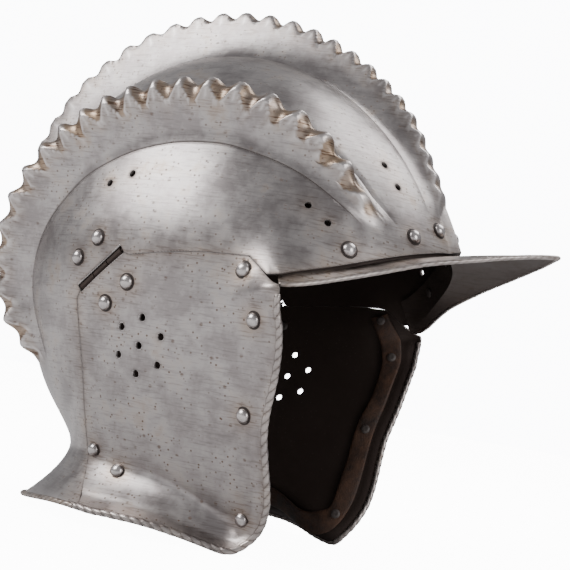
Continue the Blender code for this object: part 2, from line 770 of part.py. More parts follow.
def make_peak(skull_skins, material):
    """Brow peak: a band up inside the bowl, a bend under its edge and a brim with a turned rim."""
    rows = curve_through(PEAK_PLAN, PEAK_ROWS)
    stations = [(-1, row) for row in reversed(rows[1:])] + [(1, row) for row in rows]
    builder = MeshBuilder()
    loops = []
    for side, (brow, breadth, reach, fall) in stations:
        y = brow_place(brow * HALF_WIDTH)
        z = brow_height(y)
        angle = side_angle(y, z)
        share = min(1.0, math.hypot(y - EAR_Y, z - EAR_Z) / middle_radius(angle))
        lateral = side * math.acos(share**(BOXY / 2))
        up = math.degrees(PEAK_FLANGE / (middle_radius(angle) * max(share, .45)))
        band = []
        for turn in (up, up / 2):
            point, normal = bowl_point(angle - turn, lateral), bowl_normal(angle - turn, lateral)
            band.append((skull_skins.under(point, normal), skull_skins.under(point, normal, PLATE)))
        foot, flat = bowl_point(angle, lateral), level(bowl_normal(angle, lateral))
        root = skull_skins.under(foot, flat)
        root.z = min(z, brow_height(root.y)) - 2 * GAP
        bend = skull_skins.under(foot, flat, PLATE)
        bend.z = root.z - PLATE
        edge = Vector((side * breadth * HALF_WIDTH, y - reach * PEAK_LENGTH, z - fall * PEAK_DROOP))
        out = (edge - root).normalized()
        over = Vector((0, 0, 1)) - out * out.z
        over.normalize()
        rim = edge - out * RIM_WIDTH / 2
        neck = edge - out * RIM_WIDTH
        ring = [
            band[0][0], band[1][0], root, neck, rim + over * RIM_SWELL, edge - over * PLATE / 2,
            rim - over * (PLATE + RIM_SWELL), neck - over * PLATE, bend, band[1][1], band[0][1],
        ]
        loops.append([builder.point(place) for place in ring])
    for left, right in zip(loops, loops[1:]):
        for i in range(len(left)):
            j = (i + 1) % len(left)
            builder.face(left[i], right[i], right[j], left[j])
    builder.face(*loops[0])
    builder.face(*reversed(loops[-1]))
    return builder.finish("peak", material)


def make_rivet(name, skins, seat, normal, layer, material):
    """Domed rivet: head on a plate, shank through it and the layer under it, tail spread inside."""
    head = RIVET_HEAD / 2
    tail = (skins.under(seat, normal, layer) - seat).dot(normal) - GAP - FLATS
    profile = [
        (0, tail - RIVET_TAIL_THICK), (RIVET_TAIL / 2, tail - RIVET_TAIL_THICK), (RIVET_SHANK / 2, tail),
        (RIVET_SHANK / 2, GAP), (head, GAP), (head * .78, GAP + head * .50), (0, GAP + head * .80),
    ]
    mesh = bmesh.new()
    turn = Vector((0, 0, 1)).rotation_difference(normal).to_matrix().to_4x4()
    verts = [mesh.verts.new((radius, 0, height)) for radius, height in profile]
    edges = [mesh.edges.new(pair) for pair in zip(verts, verts[1:])]
    bmesh.ops.spin(
        mesh, geom=verts + edges, cent=(0, 0, 0), axis=(0, 0, 1), angle=2 * math.pi, steps=RIVET_SIDES,
        use_merge=True,
    )
    bmesh.ops.remove_doubles(mesh, verts=mesh.verts, dist=1e-6)
    bmesh.ops.recalc_face_normals(mesh, faces=mesh.faces)
    bmesh.ops.transform(mesh, matrix=turn, verts=mesh.verts)
    data = bpy.data.meshes.new(name)
    mesh.to_mesh(data)
    mesh.free()
    data.materials.append(material)
    data.shade_smooth()
    data.set_sharp_from_angle(angle=math.radians(50))
    obj = bpy.data.objects.new(name, data)
    obj.location = seat
    bpy.context.collection.objects.link(obj)
    return obj


def strap_frame(side):
    """Points, surface normals and sideways directions along a lining strap."""
    line = scaled(curve_through(STRAP_LINE, STRAP_ROWS))
    frames = []
    for i, (y, z) in enumerate(line):
        place = on_cheek(y, z, side)
        normal = cheek_skin_normal(y, z, side)
        before = on_cheek(*line[max(i - 1, 0)], side)
        after = on_cheek(*line[min(i + 1, len(line) - 1)], side)
        across = (after - before).normalized().cross(normal)
        frames.append((y, z, place, normal, across.normalized()))
    return frames


def make_strap(name, side, skins, material):
    """Leather lining strap inside a cheekpiece, following its face and lower edge."""
    builder = MeshBuilder()
    loops = []
    for y, z, place, normal, across in strap_frame(side):
        loop = []
        for reach, depth in ((-1, 0), (0, 0), (1, 0), (1, 1), (0, 1), (-1, 1)):
            spot = place + across * reach * STRAP_WIDTH / 2
            near = on_cheek(spot.y, spot.z, side) if reach else place
            slope = cheek_skin_normal(spot.y, spot.z, side) if reach else normal
            spot.x = near.x
            loop.append(builder.point(skins.under(spot, slope, STRAP_EASE + depth * STRAP_THICK)))
        loops.append(loop)
    for left, right in zip(loops, loops[1:]):
        for i in range(6):
            j = (i + 1) % 6
            builder.face(left[i], right[i], right[j], left[j])
    for loop in (loops[0], list(reversed(loops[-1]))):
        builder.face(loop[0], loop[1], loop[4], loop[5])
        builder.face(loop[1], loop[2], loop[3], loop[4])
    return builder.finish(name, material)


def hinge_axis(side):
    """Front end and back end of a hinge's axis, a little under the plate's face."""
    ends = []
    for y, z in scaled(HINGE_ENDS):
        place, normal = on_bowl(y, z, side, HINGE_BARREL * .30)
        ends.append(place)
    return ends


def hinge_frame(side):
    """Middle of the hinge, its axis (front to back), the way across towards the skull, and out."""
    front, back = hinge_axis(side)
    middle = (front + back) / 2
    axis = (back - front).normalized()
    normal = on_bowl(middle.y, middle.z, side)[1]
    up = axis.cross(normal).normalized()
    if up.z < 0:
        up = -up
    out = up.cross(axis)
    if out.x * side < 0:
        out = -out
    return middle, axis, up, out


def add_box(mesh, centre, axes, sizes):
    """Box along three given directions."""
    frame = Matrix((axes[0], axes[1], axes[2])).transposed().to_4x4()
    size = Matrix.Diagonal((*sizes, 1))
    bmesh.ops.create_cube(mesh, size=1, matrix=Matrix.Translation(centre) @ frame @ size)


def add_rod(mesh, centre, direction, radius, length, sides):
    turn = Vector((0, 0, 1)).rotation_difference(direction).to_matrix().to_4x4()
    bmesh.ops.create_cone(
        mesh, cap_ends=True, segments=sides, radius1=radius, radius2=radius, depth=length,
        matrix=Matrix.Translation(centre) @ turn,
    )


def object_from(mesh, name, material):
    bmesh.ops.recalc_face_normals(mesh, faces=mesh.faces)
    data = bpy.data.meshes.new(name)
    mesh.to_mesh(data)
    mesh.free()
    data.materials.append(material)
    data.shade_smooth()
    data.set_sharp_from_angle(angle=math.radians(40))
    obj = bpy.data.objects.new(name, data)
    bpy.context.collection.objects.link(obj)
    return obj


def leaf_plate(mesh, side, way, skins):
    """Curved plate of a hinge leaf under the steel, from near the barrel outwards."""
    middle, axis, up, out = hinge_frame(side)
    start = HINGE_BARREL / 2 + 2 * GAP
    loops = []
    for k in range(LEAF_STEPS + 1):
        reach = start + (HINGE_LEAF_REACH - start) * k / LEAF_STEPS
        loop = []
        across = [k / LEAF_STEPS - .5 for k in range(LEAF_STEPS + 1)]
        for along, depth in [(a, 0) for a in across] + [(a, 1) for a in reversed(across)]:
            spot = middle + axis * along * (HINGE_LENGTH - 2 * GAP) + up * way * reach
            place, normal = on_bowl(spot.y, spot.z, side)
            loop.append(mesh.verts.new(skins.under(place, normal, depth * HINGE_LEAF)))
        loops.append(loop)
    corners = len(loops[0])
    for low, high in zip(loops, loops[1:]):
        for i in range(corners):
            j = (i + 1) % corners
            mesh.faces.new((low[i], high[i], high[j], low[j]))
    for loop in (loops[0], loops[-1]):
        for i in range(LEAF_STEPS):
            mesh.faces.new((loop[i], loop[i + 1], loop[-2 - i], loop[-1 - i]))


def join(obj, mesh, name):
    """Boolean union of another solid into an object."""
    bmesh.ops.recalc_face_normals(mesh, faces=mesh.faces)
    cut(obj, cutter_from(mesh, name), "UNION")


def make_leaf(name, side, way, skins, knuckles, material):
    """Hinge leaf: curved plate, tabs and knuckles, bored for the pin."""
    middle, axis, up, out = hinge_frame(side)
    plate = bmesh.new()
    leaf_plate(plate, side, way, skins)
    obj = object_from(plate, name, material)
    pitch = HINGE_LENGTH / KNUCKLES
    for index in knuckles:
        centre = middle + axis * (index - (KNUCKLES - 1) / 2) * pitch
        rod = bmesh.new()
        add_rod(rod, centre, axis, HINGE_BARREL / 2, pitch - 2 * GAP, BARREL_SIDES)
        join(obj, rod, f"{name}_knuckle_{index}")
        reach = HINGE_BARREL / 2 + 4 * GAP
        spot = centre + up * way * (reach + HINGE_BARREL / 2) / 2
        place, normal = on_bowl(*(centre + up * way * reach).yz, side)
        target = skins.under(place, normal, HINGE_LEAF * .8)
        depth = (target - centre).dot(out)
        tab = bmesh.new()
        tab_centre = centre + up * way * reach / 2 + out * depth
        add_box(tab, tab_centre, (axis, up, out), (pitch - 4 * GAP, reach + 2 * GAP, HINGE_LEAF))
        join(obj, tab, f"{name}_tab_{index}")
        web = bmesh.new()
        add_box(web, centre + out * depth / 2, (axis, up, out), (pitch - 6 * GAP, HINGE_BARREL / 2, abs(depth)))
        join(obj, web, f"{name}_web_{index}")
    bore = bmesh.new()
    add_rod(bore, middle, axis, PIN_RADIUS + PIN_PLAY, 2 * HINGE_LENGTH, BARREL_SIDES)
    bmesh.ops.recalc_face_normals(bore, faces=bore.faces)
    cut(obj, cutter_from(bore, f"{name}_bore"))
    return obj


def make_pin(name, side, material):
    middle, axis, up, out = hinge_frame(side)
    mesh = bmesh.new()
    add_rod(mesh, middle, axis, PIN_RADIUS, HINGE_LENGTH + 2 * PIN_RADIUS, BARREL_SIDES)
    return object_from(mesh, name, material)


def slot_cutter(name, side):
    middle, axis, up, out = hinge_frame(side)
    mesh = bmesh.new()
    width = HINGE_BARREL + 4 * GAP
    add_box(mesh, middle, (axis, up, out), (HINGE_LENGTH + 8 * GAP, width, 8 * HINGE_BARREL))
    bmesh.ops.recalc_face_normals(mesh, faces=mesh.faces)
    return cutter_from(mesh, name)


def side_name(side):
    return "left" if side > 0 else "right"


def rosette_places():
    """Side-view places of the seven ear holes of a cheekpiece."""
    turn = math.radians(-14)
    spots = [(0.0, 0.0)]
    for k in range(6):
        angle = turn + math.radians(60) * k
        spots.append((ROSETTE_RADIUS * math.cos(angle), ROSETTE_RADIUS * math.sin(angle)))
    return spots


def tipped(points, tilt):
    """Y and z of points after the helmet tips back by an angle."""
    cos, sin = math.cos(tilt), math.sin(tilt)
    return [(y * cos + z * sin, z * cos - y * sin) for _, y, z in points]


def stand_up(skull, peak, cheek):
    """Empty that tips the helmet until the cheekpieces' tips and the nape flange rest on the ground."""
    skull_points = [tuple(v.co) for v in skull.data.vertices]
    peak_points = [tuple(v.co) for v in peak.data.vertices]
    cheek_points = [tuple(v.co) for v in cheek.data.vertices]
    low, high = 0.0, math.radians(30)
    for _ in range(40):
        tilt = (low + high) / 2
        if min(z for _, z in tipped(cheek_points, tilt)) < min(z for _, z in tipped(skull_points, tilt)):
            low = tilt
        else:
            high = tilt
    places = tipped(skull_points + peak_points, tilt)
    deep = [y for y, _ in places]
    helmet = bpy.data.objects.new("helmet", None)
    bpy.context.collection.objects.link(helmet)
    helmet.rotation_euler = (-tilt, 0, 0)
    helmet.location = (0, -(min(deep) + max(deep)) / 2, -min(z for _, z in places))
    return helmet


def make_hinge_empty(side, helmet):
    """Empty on a cheekpiece's joint axis, its Z along the axis."""
    middle, axis, up, out = hinge_frame(side)
    hinge = bpy.data.objects.new(f"cheek_{side_name(side)}_hinge", None)
    bpy.context.collection.objects.link(hinge)
    hinge.matrix_basis = Matrix.Translation(middle) @ axis.to_track_quat("Z", "Y").to_matrix().to_4x4()
    hinge.parent = helmet
    return hinge


def hang(pieces, parent, frame):
    """Parent pieces where they are: frame is the parent's own place in the upright frame."""
    for piece in pieces:
        piece.parent = parent
        piece.matrix_parent_inverse = frame.inverted()


def add_cheek_side(side, skull_skins, skull_pegs, peak_pegs, seam, steel, dark, leather):
    """Everything on one side: the pieces that stay with the skull and those that swing."""
    word = side_name(side)
    bore = (RIVET_SHANK / 2 + GAP / 2) / math.cos(math.pi / BORE_SIDES)
    far = 3 * CHEEK_REACH
    fixed = []
    cheek = make_cheek(f"cheek_{word}", side, steel)
    skins = Skins(cheek)
    lowered = offset_outline(seam, -SEAM_GAP / 2)
    outline = lowered + [(far, lowered[-1][1]), (far, -far), (-far, -far), (-far, lowered[0][1])]
    reach = (.01, far) if side > 0 else (-far, -.01)
    cut(cheek, make_prism(f"cheek_outline_{word}", outline, *reach), "INTERSECT")
    cut(cheek, slot_cutter(f"cheek_slot_{word}", side))
    strap = make_strap(f"lining_strap_{word}", side, skins, leather)
    swinging = [cheek, strap]

    cheek_pegs = []
    strap_pegs = []
    for y, z in rosette_places():
        cheek_pegs.append((cheek_point(y, z, side), cheek_skin_normal(y, z, side), EAR_HOLE / 2, HOLE_SIDES))
    for index, (y, z) in enumerate(scaled(STRAP_RIVETS), 1):
        place, normal = skins.seat(cheek_point(y, z, side), cheek_skin_normal(y, z, side))
        name = f"lining_rivet_{word}_{index}"
        swinging.append(make_rivet(name, skins, place, normal, STRAP_EASE + STRAP_THICK, steel))
        cheek_pegs.append((place, normal, bore, BORE_SIDES))
        strap_pegs.append((place, normal, bore, BORE_SIDES))

    front = [(front_place(x * HALF_WIDTH, z * CHEEK_REACH), z * CHEEK_REACH) for x, z in FRONT_LACE_HOLES]
    for y, z in scaled(SIDE_LACE_HOLES) + front:
        place, normal = on_bowl(y, z, side)
        skull_pegs.append((place, normal, LACE_HOLE / 2, HOLE_SIDES))
    for index, (x, z) in enumerate(BROW_RIVETS, 1):
        height = z * CHEEK_REACH
        place, normal = skull_skins.seat(*on_bowl(front_place(x * HALF_WIDTH, height), height, side))
        name = f"brow_rivet_{word}_{index}"
        fixed.append(make_rivet(name, skull_skins, place, normal, PLATE, steel))
        skull_pegs.append((place, normal, bore, BORE_SIDES))
        peak_pegs.append((place, normal, bore, BORE_SIDES))

    skull_leaf = make_leaf(f"hinge_skull_leaf_{word}", side, 1, skull_skins, (0, 2), dark)
    cheek_leaf = make_leaf(f"hinge_cheek_leaf_{word}", side, -1, skins, (1,), dark)
    fixed += [skull_leaf, make_pin(f"hinge_pin_{word}", side, dark)]
    swinging.append(cheek_leaf)
    for kind, spots, leaf, plate_skins, plate_pegs, pieces in (
        ("skull", SKULL_HINGE_RIVETS, skull_leaf, skull_skins, skull_pegs, fixed),
        ("cheek", CHEEK_HINGE_RIVETS, cheek_leaf, skins, cheek_pegs, swinging),
    ):
        leaf_pegs = []
        for index, (y, z) in enumerate(scaled(spots), 1):
            place, normal = plate_skins.seat(*on_bowl(y, z, side))
            name = f"hinge_{kind}_rivet_{word}_{index}"
            pieces.append(make_rivet(name, plate_skins, place, normal, HINGE_LEAF, steel))
            plate_pegs.append((place, normal, bore, BORE_SIDES))
            leaf_pegs.append((place, normal, bore, BORE_SIDES))
        cut(leaf, make_pegs(f"{leaf.name}_holes", leaf_pegs))
    cut(cheek, make_pegs(f"cheek_holes_{word}", cheek_pegs))
    cut(strap, make_pegs(f"strap_holes_{word}", strap_pegs))
    return cheek, fixed, swinging


def build():
    clear_scene()
    steel = make_material("steel", STEEL, 1.0, 0.38)
    dark = make_material("hinge_steel", STEEL_DARK, 1.0, 0.5)
    leather = make_material("lining_leather", LEATHER, 0.0, 0.7)

    skull = make_skull(steel)
    skull_skins = Skins(skull)
    peak = make_peak(skull_skins, steel)
    temple = -.80 * CHEEK_REACH
    ahead = BROW[0][0] * CHEEK_REACH
    brow = [ahead + (temple - ahead) * k / BROW_STEPS for k in range(BROW_STEPS + 1)]
    brow = [(y, brow_height(y)) for y in brow]
    seam = scaled(SEAM)
    far = 3 * CHEEK_REACH
    raised = [place for place in offset_outline(seam, SEAM_GAP / 2) if place[0] > temple * .95]
    window = brow + raised + [(seam[-1][0], -far), (brow[0][0], -far)]
    cut(skull, make_prism("face_opening", window, -far, far))

    skull_pegs = []
    peak_pegs = []
    sides = {}
    for side in (1, -1):
        cut(skull, slot_cutter(f"skull_slot_{side_name(side)}", side))
        sides[side] = add_cheek_side(side, skull_skins, skull_pegs, peak_pegs, seam, steel, dark, leather)
    cut(skull, make_pegs("skull_holes", skull_pegs))
    cut(peak, make_pegs("peak_holes", peak_pegs))

    helmet = stand_up(skull, peak, sides[1][0])
    hang([skull, peak], helmet, Matrix.Identity(4))
    for side, (cheek, fixed, swinging) in sides.items():
        hinge = make_hinge_empty(side, helmet)
        hang(fixed, helmet, Matrix.Identity(4))
        hang(swinging, hinge, hinge.matrix_basis)


build()
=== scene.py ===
"""Looks of the burgonet: fine plates, roped edges, rivets, straps, materials, light and camera.

Shapes are worked out in the upright frame: metres, +Z up, the wearer looks along -Y, and the
origin lies midway between the centres of the two ear rosettes. stand() then tips every point
back as the helmet stands on its cheekpieces and nape flange.
"""
import math

import bpy
import numpy as np
from mathutils import Matrix, Vector


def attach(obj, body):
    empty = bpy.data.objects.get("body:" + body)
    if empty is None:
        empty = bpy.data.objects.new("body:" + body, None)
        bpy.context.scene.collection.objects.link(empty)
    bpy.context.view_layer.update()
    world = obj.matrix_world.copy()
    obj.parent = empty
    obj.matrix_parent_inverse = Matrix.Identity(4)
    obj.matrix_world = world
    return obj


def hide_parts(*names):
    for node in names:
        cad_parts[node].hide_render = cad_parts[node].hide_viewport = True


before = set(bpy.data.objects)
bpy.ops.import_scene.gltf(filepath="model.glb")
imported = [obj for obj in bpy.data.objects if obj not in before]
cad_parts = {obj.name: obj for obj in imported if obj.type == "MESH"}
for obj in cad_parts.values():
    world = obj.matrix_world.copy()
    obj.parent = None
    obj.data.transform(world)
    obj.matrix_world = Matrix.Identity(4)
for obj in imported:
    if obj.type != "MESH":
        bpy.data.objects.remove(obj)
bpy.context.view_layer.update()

# How the helmet stands
TILT = 0.18835
STAND = (0.0, 0.00967, 0.09159)

# Plates and clearances
PLATE = 0.0016
GAP = 0.0003
FLATS = 0.0004
SEAM_GAP = 0.00015

# Skull bowl
SKULL_RADIUS = 0.130
HALF_WIDTH = 0.0965
EAR_Y = -0.010
EAR_Z = 0.030
CHEEK_REACH = 0.100
FORWARD_SPREAD = 0.06
BOXY = 2.3
TEMPLE_FLARE = 0.014
TEMPLE_SPAN = 0.022
TEMPLE_PLACE = (-.83, .22)

# Combs
COMB_HEIGHT = 0.040
COMB_HALF_BASE = 0.0165
SIDE_COMB_HEIGHT = 0.0210
SIDE_COMB_HALF_BASE = 0.0150
SIDE_COMB_ARC = 0.78
SIDE_COMB_LEAN = 0.38
COMB_WALL = 0.0019
TOOTH_PITCH = 0.0150
TOOTH_DEPTH = 0.0050
SCOOP_DEPTH = 0.0040     # of a scoop at the middle of the crest
SCOOP_CROWN = 0.0019     # further fall of a scoop's floor to its lips
SCOOP_HALF_WIDTH = .24   # share of a comb's half base
SCOOP_ROUND = 1.4        # exponent of a scoop's floor: larger for rounder ridges
KEEL_HEIGHT = 0.0032
KEEL_HALF_WIDTH = 0.0070
KEEL_START = 138         # degrees about the ear axis
KEEL_FADE = 14
CREASE_DEPTH = 0.00035   # line along a comb's foot

# Cheekpieces and nape
FRONT_FLARE = 0.0050
FRONT_FLARE_SPAN = 0.013
FLARE_TOP = .32          # upper end of the front roll, share of CHEEK_REACH
FLARE_FADE = .1          # height over which it rises, share of CHEEK_REACH
BAND_DEPTH = 0.0009      # sunken band inside the roped edge
BAND_INSET = 0.0050
BAND_SPAN = 0.0018
BAND_TOP = .20           # share of CHEEK_REACH, as are the next three
BAND_FADE = .03
HOLLOW_PLACE = .12
HOLLOW_HEIGHT = .055
HOLLOW_DEPTH = 0.0020    # at the band's top end
HOLLOW_INSET = 0.008
HOLLOW_SPAN = 0.007
NAPE_FLARE = 0.033
WAIST_DEPTH = 0.028

# Peak
PEAK_LENGTH = 0.0525
PEAK_FLANGE = 0.0150
PEAK_DROOP = 0.0060
PEAK_CROWN = 0.0007      # rise of the brim between its root and its rim

# Rivets, hinges, holes and straps
RIVET_HEAD = 0.0072
RIVET_RISE = 0.0027
RIVET_SHANK = 0.0030
RIVET_TAIL = 0.0052
RIVET_TAIL_THICK = 0.0010
RIVET_RING = 0.0009      # width of the dark ring round a head
LACE_HOLE = 0.0036
EAR_HOLE = 0.0038
ROSETTE_RADIUS = 0.0138
ROSETTE_TURN = -14
HINGE_LENGTH = 0.0330
HINGE_BARREL = 0.0034
HINGE_LEAF = 0.0012
HINGE_SINK = .30         # depth of the hinge line under the skin, share of the barrel
STRAP_WIDTH = 0.0110
STRAP_THICK = 0.0018
STRAP_EASE = 0.0008
STRAP_STEP = 0.0022
STRAP_WAVE = 0.0003
SLOT_LENGTH = HINGE_LENGTH + 8 * GAP
SLOT_WIDTH = HINGE_BARREL + 4 * GAP

# Roped edges: radius of the roll, length of one turn, depth of its grooves as a share of the radius
CHEEK_ROPE = (.0018, .0052, .20)
NAPE_ROPE = (.0014, .0042, .18)
PEAK_ROPE = (.0012, .0040, .06)
SLOT_ROPE = (.0006, .0016, .40)
ROPE_LIFT = .0009        # of a roll inward from its edge

PROFILE = [
    (-75, 1.80), (-52, 1.18), (-45, 1.035), (-37, .937), (-20, .935), (0, .955), (18, .99), (45, 1.07),
    (70, 1.108), (92, 1.088), (115, 1.03), (130, .995), (142, .978), (156, .968), (170, .976),
    (185, 1.02), (205, 1.30), (235, 1.80), (285, 1.80),
]
WIDTH = [(-1.1, .50), (-1.0, .57), (-.7, .705), (-.4, .80), (0, .905), (.45, .985), (.7, 1.0), (3, 1.0)]
PINCH = [(-75, 2.0), (110, 2.0), (150, 1.7), (175, 1.55), (200, 1.7), (240, 2.0), (285, 2.0)]
SIDE_COMB_FOOT = [
    (-30, .76), (-12, .735), (5, .752), (16, .723), (26, .672), (39, .595), (50, .555), (65, .509),
    (79, .495), (92, .502), (106, .532), (118, .574), (130, .62), (146, .699), (156, .748), (168, .808),
    (190, .85),
]
COMB_RISE = [
    (-20, 0), (-8, .30), (5, .60), (20, .83), (35, .96), (51, 1.0), (62, .955), (75, .865), (87, .79),
    (100, .685), (111, .59), (124, .49), (136, .385), (147, .22), (157, .12), (163, 0),
]
SIDE_COMB_RISE = [
    (-20, 0), (-12, .40), (0, .80), (20, 1.0), (60, 1.0), (110, 1.0), (135, .85), (150, .50), (158, .25),
    (166, 0),
]
COMB_SECTION = [(0, 1.0), (.20, .94), (.31, .72), (.46, .42), (.72, .12), (1.0, 0), (9, 0)]
LOWER_EDGE = [
    (-.48, -.985), (-.39, -.992), (-.30, -.965), (-.15, -.900), (0, -.850), (.20, -.805), (.36, -.762),
    (.50, -.735), (.85, -.703), (1.5, -.700),
]
SKIRT_FLARE = [
    (-.60, 0), (-.48, .16), (-.30, .50), (-.10, .74), (.10, .86), (.36, .90), (.60, .86), (1.5, .84),
]
SKIRT_DEPTH = [(-.60, .5), (-.30, .62), (0, .80), (.45, .95), (.85, 1.0), (1.5, 1.0)]
FRONT_EDGE = [
    (-.79, .45), (-.81, .225), (-.80, .10), (-.79, .0), (-.735, -.20), (-.665, -.40), (-.64, -.55),
    (-.625, -.68), (-.60, -.79), (-.545, -.89), (-.47, -.96), (-.40, -.992),
]
SEAM_TEMPLE = [(-1.10, .10), (-.84, .205), (-.79, .232), (-.735, .285), (-.636, .383)]
SEAM_TOP = [(-.636, .383), (-.48, .41), (-.335, .426), (-.15, .438), (.02, .443)]
SEAM_HINGE = [(.06, .462), (.36, .300)]
SEAM_REAR = [
    (.387, .266), (.403, .062), (.446, -.207), (.462, -.437), (.450, -.512), (.436, -.574),
    (.408, -.656), (.368, -.746), (.30, -.90),
]
BROW = [
    (-1.60, .535), (-1.387, .502), (-1.278, .451), (-1.118, .386), (-.966, .329), (-.80, .285), (-.76, .272),
]
PEAK_PLAN = [
    (0, 0, 1.0, .85), (.12, .150, .80, .88), (.28, .318, .50, .90), (.415, .465, .25, .90),
    (.60, .603, .08, .95), (.75, .750, .025, 1.0), (.85, .850, .015, 1.05), (.93, .930, .012, 1.0),
    (.972, .970, .012, .70),
]
BROW_END = -.80          # where the brow line meets the temple seam
SEAM_START = -.76        # foremost place where the skull ends at the seam
ROPING_TOP = .185        # upper end of a cheekpiece's roping
HINGE_ENDS = [(.048, .484), (.375, .306)]
BROW_RIVETS = [(.685, .425), (.340, .533), (.125, .60)]
SKULL_HINGE_RIVETS = [(.219, .553), (.362, .471)]
CHEEK_HINGE_RIVETS = [(.039, .311), (.188, .222)]
STRAP_RIVETS = [(-.609, .319), (-.664, .076), (-.544, -.354), (-.435, -.84), (.23, -.600), (.405, -.49)]
STRAP_LINE = [
    (-.60, .345), (-.664, .076), (-.625, -.15), (-.544, -.354), (-.50, -.60), (-.435, -.84), (-.27, -.86),
    (-.06, -.74), (.23, -.60), (.405, -.49),
]
SIDE_LACE_HOLES = [(.035, .865), (.177, .836), (-.863, .642), (-.947, .555)]
FRONT_LACE_HOLES = [(.355, .914), (.336, .797)]

# Mesh of the skull
FIRST_ROW = 196.0
LAST_ROW = -20.0
PLAIN_ROWS = 140
NAPE_ROWS = 24
TOOTH_ROWS = 12          # mesh rows for one tooth
EAR_LATERAL = 87.0
NAPE_LATERAL = 40.0
NAPE_DRAW = 0.55
CREST_SHARES = [0, .05, .10, .15, .18, .205, .23, .26, .29, .33]
FLANK_SHARES = [.40, .50, .60, .72, .84, .94]
BETWEEN_SHARES = [.012, .08, .18, .30, .42, .54, .66, .78, .90, .988]
OUTSIDE_SHARES = [.008, .03, .07] + [.07 + .93 * k / 20 for k in range(1, 21)]
CHEEK_STEP = 0.0014      # mesh of a cheekpiece
EDGE_STEP = 0.0010       # mesh along cut edges

# Colours
LIGHT_STEEL = (.46, .43, .42)
MID_STEEL = (.29, .262, .258)
DARK_STEEL = (.125, .108, .106)
TAN = (.30, .21, .14)
BROWN = (.10, .06, .04)
# Grime, and the colour of painted shade in creases and grooves
GRIME_AND_SHADE = (.030, .020, .016)
INSIDE = (.042, .028, .023)
LEATHER = (.075, .034, .018)
LEATHER_DARK = (.018, .009, .006)
FLOOR = (.86, .86, .865)
BACKDROP_LIGHT = 12.0    # of the surroundings and floor as seen
SURROUND_LIGHT = .42     # of the surroundings as they light the object

WEAR_AND_LIGHT = "wear_and_light"            # per point: tan patina, grime and painted shade, painted highlight and polished wear, inside
EDGE_DARKENING = 0.0005      # reach of the darkening along an edge
EDGE_STAIN = 0.0040      # reach of the stain along an edge
SKULL_RIVET_STAIN = 0.0070
CHEEK_RIVET_STAIN = 0.0075


def smooth(table, x):
    """Cubic curve through a table's rows, level beyond its ends."""
    xs, ys = np.array(table, float).T
    x = np.clip(np.asarray(x, float), xs[0], xs[-1])
    low = np.maximum(np.arange(len(xs)) - 1, 0)
    high = np.minimum(np.arange(len(xs)) + 1, len(xs) - 1)
    slopes = (ys[high] - ys[low]) / (xs[high] - xs[low])
    row = np.clip(np.searchsorted(xs, x) - 1, 0, len(xs) - 2)
    span = xs[row + 1] - xs[row]
    t = (x - xs[row]) / span
    return (
        (2 * t**3 - 3 * t**2 + 1) * ys[row] + (t**3 - 2 * t**2 + t) * slopes[row] * span
        + (3 * t**2 - 2 * t**3) * ys[row + 1] + (t**3 - t**2) * slopes[row + 1] * span
    )


def curve_through(points, count):
    """Evenly numbered points on a Catmull-Rom curve through a list of points."""
    points = np.array(points, float)
    last = len(points) - 1
    s = np.linspace(0, last, count)
    i = np.minimum(s.astype(int), last - 1)
    t = (s - i)[:, None]
    a, b, c, d = (points[np.clip(i + j, 0, last)] for j in (-1, 0, 1, 2))
    return .5 * (2 * b + (c - a) * t + (2 * a - 5 * b + 4 * c - d) * t**2 + (3 * b - a - 3 * c + d) * t**3)


def run_lengths(path):
    """Distance along a path at each of its points."""
    return np.concatenate([[0], np.cumsum(np.linalg.norm(np.diff(path, axis=0), axis=1))])


def spaced(path, step):
    """A path's points again, a step apart."""
    lengths = run_lengths(path)
    places = np.linspace(0, lengths[-1], max(3, int(lengths[-1] / step)))
    return np.stack([np.interp(places, lengths, path[:, k]) for k in range(path.shape[1])], axis=1)


def unit(vectors):
    """Vectors of length 1."""
    return vectors / np.maximum(np.linalg.norm(vectors, axis=-1, keepdims=True), 1e-12)


def stacked(x, y, z):
    """Points from their three coordinates."""
    return np.stack(np.broadcast_arrays(x, y, z), axis=-1).astype(float)


def bump(x, middle, span):
    """Bell curve of height 1."""
    return np.exp(-((x - middle) / span)**2)


def scaled(table):
    """Side-view table in metres."""
    return np.array(table, float) * CHEEK_REACH


def stand(points):
    """Points of the upright frame as the helmet stands."""
    x, y, z = np.moveaxis(np.asarray(points, float), -1, 0)
    cos, sin = math.cos(TILT), math.sin(TILT)
    return stacked(x + STAND[0], y * cos + z * sin + STAND[1], z * cos - y * sin + STAND[2])


def stand_direction(vector):
    return stand(vector) - stand((0, 0, 0))


def side_angle(y, z):
    """Angle about the ear axis in degrees: 0 to the back, 90 up and 180 to the face."""
    angle = np.degrees(np.arctan2(z - EAR_Z, y - EAR_Y))
    return np.where(angle < -75, angle + 360, angle)


def middle_radius(angle):
    """Distance of the bowl's middle line from the ear axis."""
    return SKULL_RADIUS * smooth(PROFILE, angle)


def bowl_share(y, z):
    """Angle of a side-view place about the ear axis, and its share of the way to the middle line."""
    angle = side_angle(y, z)
    return angle, np.minimum(1.0, np.hypot(y - EAR_Y, z - EAR_Z) / middle_radius(angle))


def half_breadth(y, z):
    """Half breadth of the plain bowl and cheeks over a side-view point."""
    angle, share = bowl_share(y, z)
    wide = HALF_WIDTH * smooth(WIDTH, z / CHEEK_REACH) - FORWARD_SPREAD * (y - EAR_Y)
    temple = bump(y, TEMPLE_PLACE[0] * CHEEK_REACH, TEMPLE_SPAN)
    temple = temple * bump(z, TEMPLE_PLACE[1] * CHEEK_REACH, TEMPLE_SPAN)
    return wide * (1 - share**BOXY)**(1 / smooth(PINCH, angle)) + TEMPLE_FLARE * temple * (1 - share**6)


